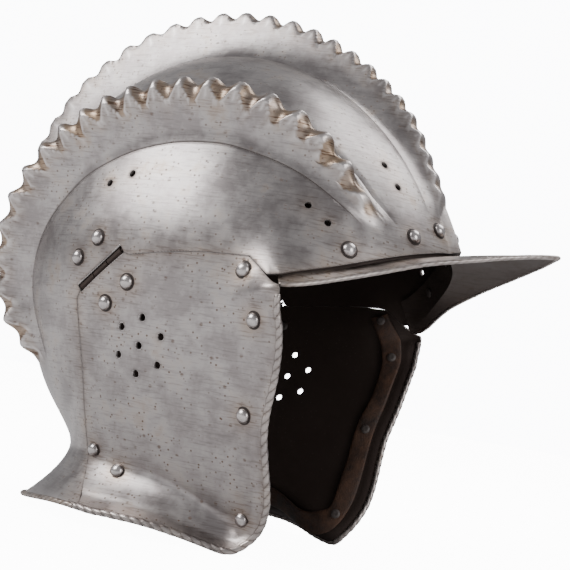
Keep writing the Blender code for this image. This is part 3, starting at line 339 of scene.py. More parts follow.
def bowl_point(angle, lateral):
    """Point of the plain bowl: angle about the ear axis, lateral angle from the middle plane (radians)."""
    radius = middle_radius(angle) * np.cos(lateral)**(2 / BOXY)
    y = EAR_Y + radius * np.cos(np.radians(angle))
    z = EAR_Z + radius * np.sin(np.radians(angle))
    return stacked(np.sign(lateral) * half_breadth(y, z), y, z)


def bowl_normal(angle, lateral):
    across = bowl_point(angle, lateral + .03) - bowl_point(angle, lateral - .03)
    along = bowl_point(angle + 1, lateral) - bowl_point(angle - 1, lateral)
    normal = unit(np.cross(along, across))
    outward = bowl_point(angle, lateral) - np.array((0, EAR_Y, EAR_Z))
    return normal * np.sign(np.sum(normal * outward, axis=-1, keepdims=True))


def on_bowl(y, z, side):
    """Point and outward normal of the plain bowl over a side-view place."""
    angle, share = bowl_share(y, z)
    lateral = side * np.arccos(share**(BOXY / 2))
    return bowl_point(angle, lateral), bowl_normal(angle, lateral)


def lower_edge(y):
    """Height of the helmet's lower edge."""
    return CHEEK_REACH * smooth(LOWER_EDGE, y / CHEEK_REACH)


def front_edge(z):
    """Side-view y of a cheekpiece's front edge."""
    rows = sorted((row[1], row[0]) for row in FRONT_EDGE)
    return CHEEK_REACH * smooth(rows, z / CHEEK_REACH)


def brow_height(y):
    """Height of the brow line."""
    return CHEEK_REACH * smooth(BROW, y / CHEEK_REACH)


def level(normal):
    """Level part of a direction."""
    return unit(normal * np.array((1, 1, 0)))


def skirt(y, z):
    """Outward push of the flared skirt."""
    depth = WAIST_DEPTH * smooth(SKIRT_DEPTH, y / CHEEK_REACH)
    reach = (lower_edge(y) + depth - z) / depth
    return NAPE_FLARE * smooth(SKIRT_FLARE, y / CHEEK_REACH) * np.maximum(0.0, reach)**1.6


def front_roll(y, z):
    """Outward push along the face edge of a cheekpiece."""
    inset = np.maximum(0.0, y - front_edge(z))
    fade = np.clip((FLARE_TOP * CHEEK_REACH - z) / (FLARE_FADE * CHEEK_REACH), 0, 1)
    return FRONT_FLARE * fade * bump(inset, 0, FRONT_FLARE_SPAN)


def skin_point(angle, lateral):
    """Bowl with its skirt, without combs."""
    place = bowl_point(angle, lateral)
    push = skirt(place[..., 1], place[..., 2])[..., None]
    return place + level(bowl_normal(angle, lateral)) * push


def skin_normal(angle, lateral):
    across = skin_point(angle, lateral + .02) - skin_point(angle, lateral - .02)
    along = skin_point(angle + .7, lateral) - skin_point(angle - .7, lateral)
    normal = unit(np.cross(along, across))
    return normal * np.sign(np.sum(normal * bowl_normal(angle, lateral), axis=-1, keepdims=True))


def bisect(low, high, too_far):
    """Where a test turns true between two ends."""
    for _ in range(40):
        middle = (low + high) / 2
        far = too_far(middle)
        low = np.where(far, low, middle)
        high = np.where(far, middle, high)
    return (low + high) / 2


def nape_end(lateral):
    """Angle at which the skirt's edge is reached along a line of constant lateral angle."""
    def above(angle):
        place = bowl_point(angle, lateral)
        return place[..., 2] >= lower_edge(place[..., 1])
    return bisect(np.full_like(lateral, -74.0), np.full_like(lateral, LAST_ROW), above)


def front_place(x, z):
    """Side-view y of the bowl's front where its half breadth is x."""
    return float(bisect(-1.6 * CHEEK_REACH, -.4 * CHEEK_REACH, lambda y: half_breadth(y, z) > x))


def brow_place(x):
    """Side-view y of the brow line where the bowl's half breadth is x."""
    return bisect(
        np.full_like(x, -1.6 * CHEEK_REACH), np.full_like(x, -.6 * CHEEK_REACH),
        lambda y: half_breadth(y, brow_height(y)) > x,
    )


def cheek_normal(y, z, side):
    step = .002
    slope_y = (half_breadth(y + step, z) - half_breadth(y - step, z)) / (2 * step)
    slope_z = (half_breadth(y, z + step) - half_breadth(y, z - step)) / (2 * step)
    return unit(stacked(side, -slope_y, -slope_z))


def edge_distance(points, line):
    """Distance of side-view points from an open line."""
    best = np.full(len(points), np.inf)
    for a, b in zip(line, line[1:]):
        run = b - a
        share = np.clip((points - a) @ run / max(run @ run, 1e-12), 0, 1)
        best = np.minimum(best, np.linalg.norm(points - a - share[:, None] * run, axis=1))
    return best


def inside_distance(points, outline):
    """Distance of side-view points from a closed outline, positive inside it."""
    closed = np.concatenate([outline, outline[:1]])
    inside = np.zeros(len(points), bool)
    for (y0, z0), (y1, z1) in zip(closed, closed[1:]):
        if z0 == z1:
            continue
        crosses = (z0 > points[:, 1]) != (z1 > points[:, 1])
        at = y0 + (points[:, 1] - z0) * (y1 - y0) / (z1 - z0)
        inside ^= crosses & (points[:, 0] < at)
    return edge_distance(points, closed) * np.where(inside, 1, -1)


def offset_line(line, distance):
    """Side-view line moved sideways, to its left for a positive distance."""
    before = line[np.maximum(np.arange(len(line)) - 1, 0)]
    after = line[np.minimum(np.arange(len(line)) + 1, len(line) - 1)]
    run = unit(after - before)
    return line + np.stack([-run[:, 1], run[:, 0]], axis=1) * distance


def seam_line():
    """Seam between skull and cheekpiece in side view, from the temple to the skirt."""
    stretches = [SEAM_TEMPLE[:-1], curve_through(SEAM_TOP, 24), SEAM_HINGE, curve_through(SEAM_REAR, 50)]
    return scaled(np.concatenate(stretches))


def free_edge():
    """Free edge of a cheekpiece in side view, down the face and back along the skirt."""
    bottom = [row for row in LOWER_EDGE if FRONT_EDGE[-1][0] + .05 < row[0] <= .50]
    return scaled(curve_through(FRONT_EDGE + bottom, 160))


SEAM = seam_line()
FREE_EDGE = free_edge()


def cheek_relief(y, z):
    """Band sunk inside the roped edge and the hollow at its top end."""
    points = np.stack([np.ravel(y), np.ravel(z)], axis=1)
    inset = edge_distance(points, FREE_EDGE).reshape(np.shape(y))
    below = np.clip((BAND_TOP * CHEEK_REACH - z) / (BAND_FADE * CHEEK_REACH), 0, 1)
    band = -BAND_DEPTH * bump(inset, BAND_INSET, BAND_SPAN) * below
    hollow = -HOLLOW_DEPTH * bump(z, HOLLOW_PLACE * CHEEK_REACH, HOLLOW_HEIGHT * CHEEK_REACH)
    hollow = hollow * bump(inset, HOLLOW_INSET, HOLLOW_SPAN)
    return band + hollow * below


def cheek_point(y, z, side):
    normal = cheek_normal(y, z, side)
    push = skirt(y, z) + front_roll(y, z)
    return stacked(side * half_breadth(y, z), y, z) + level(normal) * (push + cheek_relief(y, z))[..., None]


def cheek_skin_normal(y, z, side):
    step = .0012
    along = cheek_point(y + step, z, side) - cheek_point(y - step, z, side)
    up = cheek_point(y, z + step, side) - cheek_point(y, z - step, side)
    normal = unit(np.cross(along, up))
    return normal * np.sign(normal[..., :1] * side)


def hinge_frame(side):
    """Middle of a hinge, its axis (front to back), the way across towards the skull, and out."""
    ends = []
    for y, z in scaled(HINGE_ENDS):
        place, normal = on_bowl(y, z, side)
        ends.append(place - normal * HINGE_BARREL * HINGE_SINK)
    middle = (ends[0] + ends[1]) / 2
    axis = unit(ends[1] - ends[0])
    normal = on_bowl(middle[1], middle[2], side)[1]
    up = unit(np.cross(axis, normal))
    up = up * np.sign(up[2])
    out = np.cross(up, axis)
    return middle, axis, up, out * np.sign(out[0] * side)


def side_name(side):
    return "left" if side > 0 else "right"


def hash_share(k):
    """Steady pseudo-random share of a whole number."""
    return np.mod(np.sin(k * 12.9898) * 43758.5453, 1.0)


class Sheet:
    """A plate's outer and inner points, their wear and painted light, and the outer triangles."""

    def __init__(self, outer, inner, wear_and_light, triangles):
        self.points = np.concatenate([outer, inner, wear_and_light], axis=1)
        self.triangles = np.asarray(triangles)

    @property
    def outer(self):
        return self.points[:, 0:3]

    @property
    def inner(self):
        return self.points[:, 3:6]

    @property
    def wear_and_light(self):
        return self.points[:, 6:10]

    def darken(self, channel, amount):
        """Raise one channel of the wear and painted light of the first points to at least an amount."""
        column = self.wear_and_light[:len(amount), channel]
        np.maximum(column, amount, out=column)

    def edges(self):
        """Each edge's two ends, and for each triangle the numbers of its three edges."""
        t = self.triangles
        pairs = np.sort(np.concatenate([t[:, [0, 1]], t[:, [1, 2]], t[:, [2, 0]]]), axis=1)
        keys, which = np.unique(pairs[:, 0] * len(self.points) + pairs[:, 1], return_inverse=True)
        ends = np.stack([keys // len(self.points), keys % len(self.points)], axis=1)
        return ends, which.reshape(3, -1).T

    def refine(self, field, longest, rounds):
        """Split the edges near a field's zero line that are longer than wanted."""
        for _ in range(rounds):
            value = np.abs(field(self.outer))
            ends, which = self.edges()
            length = np.linalg.norm(self.outer[ends[:, 0]] - self.outer[ends[:, 1]], axis=1)
            split = (np.minimum(value[ends[:, 0]], value[ends[:, 1]]) < length) & (length > longest)
            if not split.any():
                return
            number = np.full(len(ends), -1)
            number[split] = len(self.points) + np.arange(split.sum())
            middle = (self.points[ends[split, 0]] + self.points[ends[split, 1]]) / 2
            self.points = np.concatenate([self.points, middle])
            self.triangles = split_triangles(self.triangles, number[which])

    def clip(self, field):
        """Keep the side of a field that is positive, cut along its zero line."""
        value = field(self.outer)
        value = np.where(np.abs(value) < 1e-6, 1e-6, value)
        ends, which = self.edges()
        cut = value[ends[:, 0]] * value[ends[:, 1]] < 0
        a, b = ends[cut].T
        share = (value[a] / (value[a] - value[b]))[:, None]
        number = np.full(len(ends), -1)
        number[cut] = len(self.points) + np.arange(cut.sum())
        first_new = len(self.points)
        self.points = np.concatenate([self.points, self.points[a] * (1 - share) + self.points[b] * share])
        self.triangles = clip_triangles(self.triangles, number[which], value > 0)
        return first_new

    def round_holes(self, holes, first_new):
        """Bring the cut points of round holes onto true circles."""
        for place, normal, radius in holes:
            for start in (0, 3):
                away = self.points[first_new:, start:start + 3] - place
                radial = away - np.outer(away @ normal, normal)
                distance = np.linalg.norm(radial, axis=1)
                near = (np.abs(distance - radius) < .0006) & (np.abs(away @ normal) < .008)
                moved = self.points[first_new:, start:start + 3]
                moved[near] += radial[near] * (radius / distance[near] - 1)[:, None]

    def tidy(self):
        """Drop points that no triangle uses."""
        used, order = np.unique(self.triangles, return_inverse=True)
        self.points = self.points[used]
        self.triangles = order.reshape(-1, 3)

    def solid(self):
        """Closed mesh: outer side, inner side and the walls along all edges."""
        t = self.triangles
        a, b, c = (self.outer[t[:, k]] for k in range(3))
        facing = np.sum(np.cross(b - a, c - a) * (self.outer - self.inner)[t[:, 0]])
        if facing < 0:
            t = t[:, ::-1]
        count = len(self.points)
        directed = np.concatenate([t[:, [0, 1]], t[:, [1, 2]], t[:, [2, 0]]])
        keys = directed[:, 0] * count + directed[:, 1]
        back = directed[:, 1] * count + directed[:, 0]
        rim = directed[~np.isin(back, keys)]
        walls = [
            np.stack([rim[:, 1], rim[:, 0], rim[:, 0] + count], axis=1),
            np.stack([rim[:, 1], rim[:, 0] + count, rim[:, 1] + count], axis=1),
        ]
        faces = np.concatenate([t, t[:, ::-1] + count] + walls)
        wear_and_light = self.wear_and_light.copy()
        # Painted highlight, partly polished wear, along the plate's edges
        wear_and_light[rim[:, 0], 2] = np.maximum(wear_and_light[rim[:, 0], 2], .75)
        inner_wear_and_light = wear_and_light.copy()
        inner_wear_and_light[:, :3] *= .3
        inner_wear_and_light[:, 3] = 1
        return np.concatenate([self.outer, self.inner]), faces, np.concatenate([wear_and_light, inner_wear_and_light])


def turned(triangles, numbers, first):
    """Triangles and their edge numbers with another corner first."""
    order = [first, (first + 1) % 3, (first + 2) % 3]
    return triangles[:, order], numbers[:, order]


def split_triangles(triangles, numbers):
    """Split triangles at the new points on their edges, where a number is not negative."""
    has = numbers >= 0
    count = has.sum(axis=1)
    out = [triangles[count == 0]]
    t, m = triangles[count == 3], numbers[count == 3]
    out += [
        np.stack([t[:, 0], m[:, 0], m[:, 2]], 1), np.stack([m[:, 0], t[:, 1], m[:, 1]], 1),
        np.stack([m[:, 2], m[:, 1], t[:, 2]], 1), m,
    ]
    for first in range(3):
        chosen = (count == 1) & has[:, first]
        t, m = turned(triangles[chosen], numbers[chosen], first)
        out += [np.stack([t[:, 0], m[:, 0], t[:, 2]], 1), np.stack([m[:, 0], t[:, 1], t[:, 2]], 1)]
        chosen = (count == 2) & ~has[:, (first + 2) % 3]
        t, m = turned(triangles[chosen], numbers[chosen], first)
        out += [
            np.stack([m[:, 0], t[:, 1], m[:, 1]], 1), np.stack([t[:, 0], m[:, 0], m[:, 1]], 1),
            np.stack([t[:, 0], m[:, 1], t[:, 2]], 1),
        ]
    return np.concatenate(out)


def clip_triangles(triangles, numbers, keep):
    """Triangles on the kept side, with new corners where their edges are cut."""
    kept = keep[triangles]
    count = kept.sum(axis=1)
    out = [triangles[count == 3]]
    for first in range(3):
        chosen = (count == 1) & kept[:, first]
        t, m = turned(triangles[chosen], numbers[chosen], first)
        out.append(np.stack([t[:, 0], m[:, 0], m[:, 2]], 1))
        chosen = (count == 2) & ~kept[:, (first + 2) % 3]
        t, m = turned(triangles[chosen], numbers[chosen], first)
        out += [np.stack([t[:, 0], t[:, 1], m[:, 1]], 1), np.stack([t[:, 0], m[:, 1], m[:, 2]], 1)]
    return np.concatenate(out)


def hole_field(points, holes):
    """Distance outside the nearest of some round holes."""
    best = np.full(len(points), 1.0)
    for place, normal, radius in holes:
        away = points - place
        radial = np.linalg.norm(away - np.outer(away @ normal, normal), axis=1)
        best = np.where(np.abs(away @ normal) < .02, np.minimum(best, radial - radius), best)
    return best


def slot_field(points, side):
    """Distance outside a hinge's slot."""
    middle, axis, up, out = hinge_frame(side)
    away = points - middle
    field = np.maximum(np.abs(away @ axis) - SLOT_LENGTH / 2, np.abs(away @ up) - SLOT_WIDTH / 2)
    return np.where(np.abs(away @ out) < .03, field, 1.0)


def spot_wear(points, places, reach):
    """Share of closeness to the nearest of some places."""
    best = np.zeros(len(points))
    for place in places:
        best = np.maximum(best, bump(np.linalg.norm(points - place, axis=1), 0, reach))
    return best


def add_object(name, points, faces, wear_and_light, material, body, sharp=38):
    """Piece of the visual model on its body, with its wear and painted light stored at its points."""
    data = bpy.data.meshes.new(name)
    data.from_pydata(stand(points).tolist(), [], [list(map(int, face)) for face in faces])
    layer = data.color_attributes.new(WEAR_AND_LIGHT, "FLOAT_COLOR", "POINT")
    layer.data.foreach_set("color", np.asarray(wear_and_light, np.float32).ravel())
    data.materials.append(material)
    data.validate()
    data.shade_smooth()
    data.set_sharp_from_angle(angle=math.radians(sharp))
    obj = bpy.data.objects.new(name, data)
    bpy.context.collection.objects.link(obj)
    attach(obj, body)
    return obj


def tube_faces(count, size):
    """Quads between rings of points, and a face across each end."""
    number = np.arange(count * size).reshape(count, size)
    a, b = number[:-1], number[1:]
    c, d = np.roll(b, -1, axis=1), np.roll(a, -1, axis=1)
    quads = np.stack([a, b, c, d], axis=-1).reshape(-1, 4)
    return quads, [number[0].tolist(), number[-1][::-1].tolist()]


def turned_tube_faces(count, size):
    """The same with the quads turned over."""
    quads, caps = tube_faces(count, size)
    return quads[:, [0, 3, 2, 1]].tolist() + caps


def fading(distance, reach):
    """Fading share of closeness to an edge."""
    return np.exp(-distance / reach)


class Rows:
    """Cross sections of the skull at a list of angles about the ear axis."""

    def __init__(self, angles):
        self.angles = angles
        self.laterals = np.radians(EAR_LATERAL) * np.linspace(0, 1, 61)
        points = bowl_point(angles[:, None], self.laterals[None, :])
        steps = np.linalg.norm(np.diff(points, axis=1), axis=2)
        self.lengths = np.concatenate([np.zeros((len(angles), 1)), np.cumsum(steps, axis=1)], axis=1)
        rise = np.maximum(.25, smooth(SIDE_COMB_RISE, angles))
        self.base = SIDE_COMB_HALF_BASE * (.55 + .45 * rise)
        foot = np.arccos(smooth(SIDE_COMB_FOOT, angles)**(BOXY / 2))
        rows = range(len(angles))
        self.foot = np.array([np.interp(foot[i], self.laterals, self.lengths[i]) for i in rows])
        self.centre = self.foot - self.base

    def arc(self, part, share):
        """Distance from the middle line along each section."""
        if part == "middle":
            return np.full(len(self.angles), share * COMB_HALF_BASE)
        if part == "between":
            start = self.centre - self.base
            return COMB_HALF_BASE + share * (start - COMB_HALF_BASE)
        if part == "side":
            return self.centre + share * self.base
        return self.foot + share * (self.lengths[:, -1] - self.foot)

    def lateral(self, arc):
        rows = range(len(self.angles))
        return np.array([np.interp(arc[i], self.lengths[i], self.laterals) for i in rows])


def tooth_pitch(radius):
    """Angle of one tooth in degrees."""
    return math.degrees(TOOTH_PITCH / radius)


MIDDLE_PITCH = tooth_pitch(SKULL_RADIUS + COMB_HEIGHT)
SIDE_PITCH = tooth_pitch(SKULL_RADIUS * SIDE_COMB_ARC)


def fine_rows(pitch, rise):
    """Row angles with the same number of rows to each tooth, and plain rows in front of the teeth."""
    step = pitch / TOOTH_ROWS
    front = rise[-1][0]
    teeth = LAST_ROW + step * np.arange(int((front - LAST_ROW) / step) + 1)
    plain = np.linspace(FIRST_ROW, LAST_ROW, PLAIN_ROWS + 1)
    return np.concatenate([plain[plain > front + step], teeth[::-1]])


def comb_surface(angle, arc, centre, base, normal):
    """Way from the plain bowl to the combed one outside and inside, the tan patina and the painted highlight.
    """
    middle = smooth(COMB_RISE, angle)
    side = smooth(SIDE_COMB_RISE, angle)
    offsets = [np.abs(arc) / COMB_HALF_BASE, np.abs(np.abs(arc) - centre) / base]
    hollows = [
        (np.abs(arc) + COMB_WALL) / COMB_HALF_BASE,
        (np.abs(np.abs(arc) - centre) + COMB_WALL) / base,
    ]
    caps = [COMB_HEIGHT * middle, SIDE_COMB_HEIGHT * side]
    heights = []
    inner = []
    tan = np.zeros_like(angle)
    highlight_and_wear = np.zeros_like(angle)
    for offset, hollow, cap, pitch, rise in zip(
        offsets, hollows, caps, (MIDDLE_PITCH, SIDE_PITCH), (middle, side)
    ):
        plain = cap * smooth(COMB_SECTION, offset)
        phase = (angle - LAST_ROW) / pitch
        number = np.floor(phase)
        cupped = np.abs(np.sin(np.pi * phase))**SCOOP_ROUND
        fade = np.clip(1.6 * rise, 0, 1)
        uneven = .88 + .24 * hash_share(number + pitch)
        lip = np.minimum(offset / SCOOP_HALF_WIDTH, 1.5)**2
        floor = cap - cupped * fade * uneven * (SCOOP_DEPTH + SCOOP_CROWN * lip)
        under = plain - floor
        toothed = np.clip(rise * 6, 0, 1)
        tan = np.maximum(tan, toothed * np.clip(under / .0008, 0, 1))
        near = (offset < .5) * toothed
        # Painted highlight on the scoops' lips and the teeth's peaks
        highlight_and_wear = np.maximum(highlight_and_wear, near * bump(under, -.0003, .0007))
        highlight_and_wear = np.maximum(highlight_and_wear, near * (offset < .3) * np.clip(1 - cupped * 5, 0, 1) * .8)
        tan = np.maximum(tan, .35 * near * np.clip(1 + under / .010, 0, 1))
        heights.append(np.where(under > 0, floor, plain))
        inner.append(np.minimum(cap * smooth(COMB_SECTION, hollow), np.maximum(0, cap - TOOTH_DEPTH)))
    keel_fade = np.clip((angle - KEEL_START) / KEEL_FADE, 0, 1)
    keel = KEEL_HEIGHT * np.maximum(0, 1 - np.abs(arc) / KEEL_HALF_WIDTH) * keel_fade
    radians = np.radians(angle)
    radial = stacked(0, np.cos(radians), np.sin(radians))
    lean = unit(normal * (1 - SIDE_COMB_LEAN) + radial * SIDE_COMB_LEAN)
    on_side = (heights[1] > heights[0])[:, None]
    outward = np.where(on_side, lean * heights[1][:, None], normal * np.maximum(heights[0], keel)[:, None])
    on_side = (inner[1] > inner[0])[:, None]
    inward = np.where(on_side, lean * inner[1][:, None], normal * inner[0][:, None])
    # Painted highlight along the keel's ridge
    highlight_and_wear = np.maximum(highlight_and_wear, .6 * bump(arc, 0, .0006) * (keel > .0008))
    return outward, inward - normal * PLATE, tan, highlight_and_wear


def skull_columns():
    """Lines of the skull's mesh from the middle outwards: part, share of it, and set of rows."""
    columns = [("middle", share, "middle") for share in CREST_SHARES]
    columns += [("middle", share, "plain") for share in FLANK_SHARES + [1.0]]
    columns += [("between", share, "plain") for share in BETWEEN_SHARES]
    columns += [("side", -share, "plain") for share in [1.0] + FLANK_SHARES[::-1]]
    columns += [("side", -share, "side") for share in CREST_SHARES[:0:-1]]
    columns += [("side", share, "side") for share in CREST_SHARES]
    columns += [("side", share, "plain") for share in FLANK_SHARES + [1.0]]
    columns += [("outside", share, "plain") for share in OUTSIDE_SHARES]
    return columns


def skull_line(part, share, rows):
    """One line of the skull: outer points, inner points, wear and painted light, and its stations."""
    angle = rows.angles
    arc = rows.arc(part, share)
    lateral = rows.lateral(arc)
    normal = bowl_normal(angle, lateral)
    skin = skin_point(angle, lateral)
    outward, inward, tan, highlight_and_wear = comb_surface(angle, arc, rows.centre, rows.base, normal)
    grime_and_shade = np.zeros_like(angle)
    rise = np.clip(4 * smooth(SIDE_COMB_RISE if part == "side" else COMB_RISE, angle), 0, 1)
    # Painted shade: a dark line along each comb's foot over the sunk crease, strongest at a side comb's outer
    # foot
    if abs(share) == 1.0:
        strength = 1.0 if part == "side" and share > 0 else .55
        grime_and_shade = strength * rise
        outward = outward - normal * (CREASE_DEPTH * strength * rise)[:, None]
    outer = skin + outward
    inner = skin + inward
    start = lateral[-1]
    limit = math.radians(NAPE_LATERAL)
    drawn = min(start, limit) + NAPE_DRAW * max(0.0, start - limit)
    end = float(nape_end(np.array(drawn)))
    down = np.linspace(0, 1, NAPE_ROWS + 1)[1:]
    low_lateral = start + (drawn - start) * down
    low_angle = LAST_ROW + (end - LAST_ROW) * down**.9
    low_normal = skin_normal(low_angle, low_lateral)
    low = skin_point(low_angle, low_lateral)
    outer = np.concatenate([outer, low])
    inner = np.concatenate([inner, low - low_normal * PLATE])
    pad = np.zeros(NAPE_ROWS)
    wear_and_light = np.stack([np.concatenate([v, pad]) for v in (tan, grime_and_shade, highlight_and_wear, 0 * tan)], axis=1)
    stations = np.concatenate([-angle, -LAST_ROW + np.arange(1, NAPE_ROWS + 1)])
    return outer, inner, wear_and_light, stations


def zip_lines(first, second):
    """Triangles between two lines of (station, point number) that run side by side."""
    out = []
    i = j = 0
    while i < len(first) - 1 or j < len(second) - 1:
        next_i = first[i + 1][0] if i < len(first) - 1 else math.inf
        next_j = second[j + 1][0] if j < len(second) - 1 else math.inf
        if next_i <= next_j:
            out.append((first[i][1], second[j][1], first[i + 1][1]))
            i += 1
        else:
            out.append((first[i][1], second[j][1], second[j + 1][1]))
            j += 1
    return np.array(out)


def skull_half():
    """Lines of one half of the skull, joined into triangles."""
    sets = {
        "plain": Rows(np.linspace(FIRST_ROW, LAST_ROW, PLAIN_ROWS + 1)),
        "middle": Rows(fine_rows(MIDDLE_PITCH, COMB_RISE)),
        "side": Rows(fine_rows(SIDE_PITCH, SIDE_COMB_RISE)),
    }
    parts = []
    triangles = []
    start = 0
    last = None
    for part, share, kind in skull_columns():
        outer, inner, wear_and_light, stations = skull_line(part, share, sets[kind])
        numbers = start + np.arange(len(stations))
        if last is not None and last[0] == kind:
            a, b = last[2], numbers
            triangles.append(np.stack([a[:-1], b[:-1], b[1:]], 1))
            triangles.append(np.stack([a[:-1], b[1:], a[1:]], 1))
        elif last is not None:
            triangles.append(zip_lines(list(zip(last[1], last[2])), list(zip(stations, numbers))))
        last = (kind, stations, numbers)
        parts.append((outer, inner, wear_and_light))
        start += len(stations)
    joined = [np.concatenate([part[k] for part in parts]) for k in range(3)]
    return joined, np.concatenate(triangles), len(sets["middle"].angles) + NAPE_ROWS


def skull_holes():
    holes = []
    for side in (1, -1):
        spots = [tuple(place) for place in scaled(SIDE_LACE_HOLES)]
        for x, z in FRONT_LACE_HOLES:
            height = z * CHEEK_REACH
            spots.append((front_place(x * HALF_WIDTH, height), height))
        for y, z in spots:
            place, normal = on_bowl(y, z, side)
            holes.append((place, normal, LACE_HOLE / 2))
    return holes


def skull_window():
    """Outline in side view of what is open below the brow and the seams."""
    brow = np.linspace(BROW[0][0], BROW_END, 60)
    brow = np.stack([brow * CHEEK_REACH, brow_height(brow * CHEEK_REACH)], axis=1)
    raised = offset_line(SEAM, SEAM_GAP / 2)
    raised = raised[raised[:, 0] > SEAM_START * CHEEK_REACH]
    below = -3 * CHEEK_REACH
    return np.concatenate([brow, raised, [(SEAM[-1][0], below), (brow[0][0], below)]])


def make_skull(material, rivet_places):
    (outer, inner, wear_and_light), triangles, middle_count = skull_half()
    count = len(outer)
    mirror = np.array((-1, 1, 1))
    twin = np.arange(count) + count
    twin[:middle_count] = np.arange(middle_count)
    outer[:middle_count, 0] = 0
    inner[:middle_count, 0] = 0
    sheet = Sheet(
        np.concatenate([outer, outer * mirror]), np.concatenate([inner, inner * mirror]),
        np.concatenate([wear_and_light, wear_and_light]), np.concatenate([triangles, twin[triangles][:, ::-1]]),
    )
    holes = skull_holes()
    window = skull_window()

    def field(points):
        value = -inside_distance(points[:, 1:], window)
        value = np.minimum(value, hole_field(points, holes))
        return np.minimum(value, np.minimum(slot_field(points, 1), slot_field(points, -1)))

    sheet.refine(field, EDGE_STEP, 3)
    value = np.maximum(field(sheet.outer), 0)
    sheet.darken(0, .75 * spot_wear(sheet.outer, rivet_places, SKULL_RIVET_STAIN))
    sheet.darken(0, .45 * fading(value, EDGE_STAIN))
    sheet.darken(1, .75 * fading(value, EDGE_DARKENING))
    sheet.round_holes(holes, sheet.clip(field))
    sheet.tidy()
    skull = add_object("skull_plate", *sheet.solid(), material, "helmet")
    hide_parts("skull")
    return skull


def nape_path():
    """Edge of the nape flange from seam to seam."""
    lateral = np.radians(np.linspace(0, NAPE_LATERAL + NAPE_DRAW * (EAR_LATERAL - NAPE_LATERAL), 80))
    angle = nape_end(lateral)
    edge = skin_point(angle, lateral) - skin_normal(angle, lateral) * PLATE / 2
    edge[0, 0] = 0
    edge[:, 2] += ROPE_LIFT
    outside = inside_distance(edge[:, 1:], skull_window()) < -.0004
    edge = edge[outside]
    return np.concatenate([edge[:0:-1] * np.array((-1, 1, 1)), edge])


def make_rope(name, path, rope, material, body, turn=2, brown=.3):
    """Roll with slanting grooves along a path."""
    radius, pitch, depth = rope
    path = spaced(path, pitch / 10)
    sides = 14
    tangent = unit(np.gradient(path, axis=0))
    outward = unit(path * np.array((1, .4, .2)))
    across = unit(np.cross(tangent, outward))
    outward = np.cross(across, tangent)
    distance = run_lengths(path)
    angle = np.linspace(0, 2 * np.pi, sides, endpoint=False)
    phase = distance[:, None] / pitch + turn * angle[None, :] / (2 * np.pi)
    lobe = np.abs(np.sin(np.pi * phase))**.65
    uneven = 1 + .10 * (hash_share(np.floor(phase)) - .5)
    reach = radius * (1 - depth * (1 - lobe)) * uneven
    ends = np.minimum(1, np.minimum(distance, distance[-1] - distance) / radius)
    reach = reach * np.sqrt(1 - (1 - ends[:, None])**2 * .9)
    ring = path[:, None] + reach[..., None] * (
        np.cos(angle)[None, :, None] * outward[:, None] + np.sin(angle)[None, :, None] * across[:, None]
    )
    faces = turned_tube_faces(len(path), sides)
    # Painted shade in the grooves and painted highlight on the lobes' crests
    groove_shade = np.clip(1 - lobe * 1.8, 0, 1) * min(1, depth * 6)
    wear_and_light = np.stack([np.full_like(lobe, brown), groove_shade, .25 * lobe**3, 0 * lobe], axis=-1)
    return add_object(name, ring.reshape(-1, 3), faces, wear_and_light.reshape(-1, 4), material, body, 60)


def cheek_holes(side):
    holes = []
    spots = [(0.0, 0.0)]
    for k in range(6):
        angle = math.radians(ROSETTE_TURN + 60 * k)
        spots.append((ROSETTE_RADIUS * math.cos(angle), ROSETTE_RADIUS * math.sin(angle)))
    for y, z in spots:
        y, z = np.float64(y), np.float64(z)
        holes.append((cheek_point(y, z, side), cheek_skin_normal(y, z, side), EAR_HOLE / 2))
    return holes


def cheek_outline():
    """Closed outlines in side view: inside the free edge and under the seam."""
    high, back = .6 * CHEEK_REACH, .9 * CHEEK_REACH
    edge = np.concatenate([
        FREE_EDGE, [(back, FREE_EDGE[-1][1]), (back, high), (FREE_EDGE[0][0], high)],
    ])
    lowered = offset_line(SEAM, -SEAM_GAP / 2)
    far = 3 * CHEEK_REACH
    corners = [(far, lowered[-1][1]), (far, -far), (-far, -far), (-far, lowered[0][1])]
    under = np.concatenate([lowered, corners])
    return edge, under


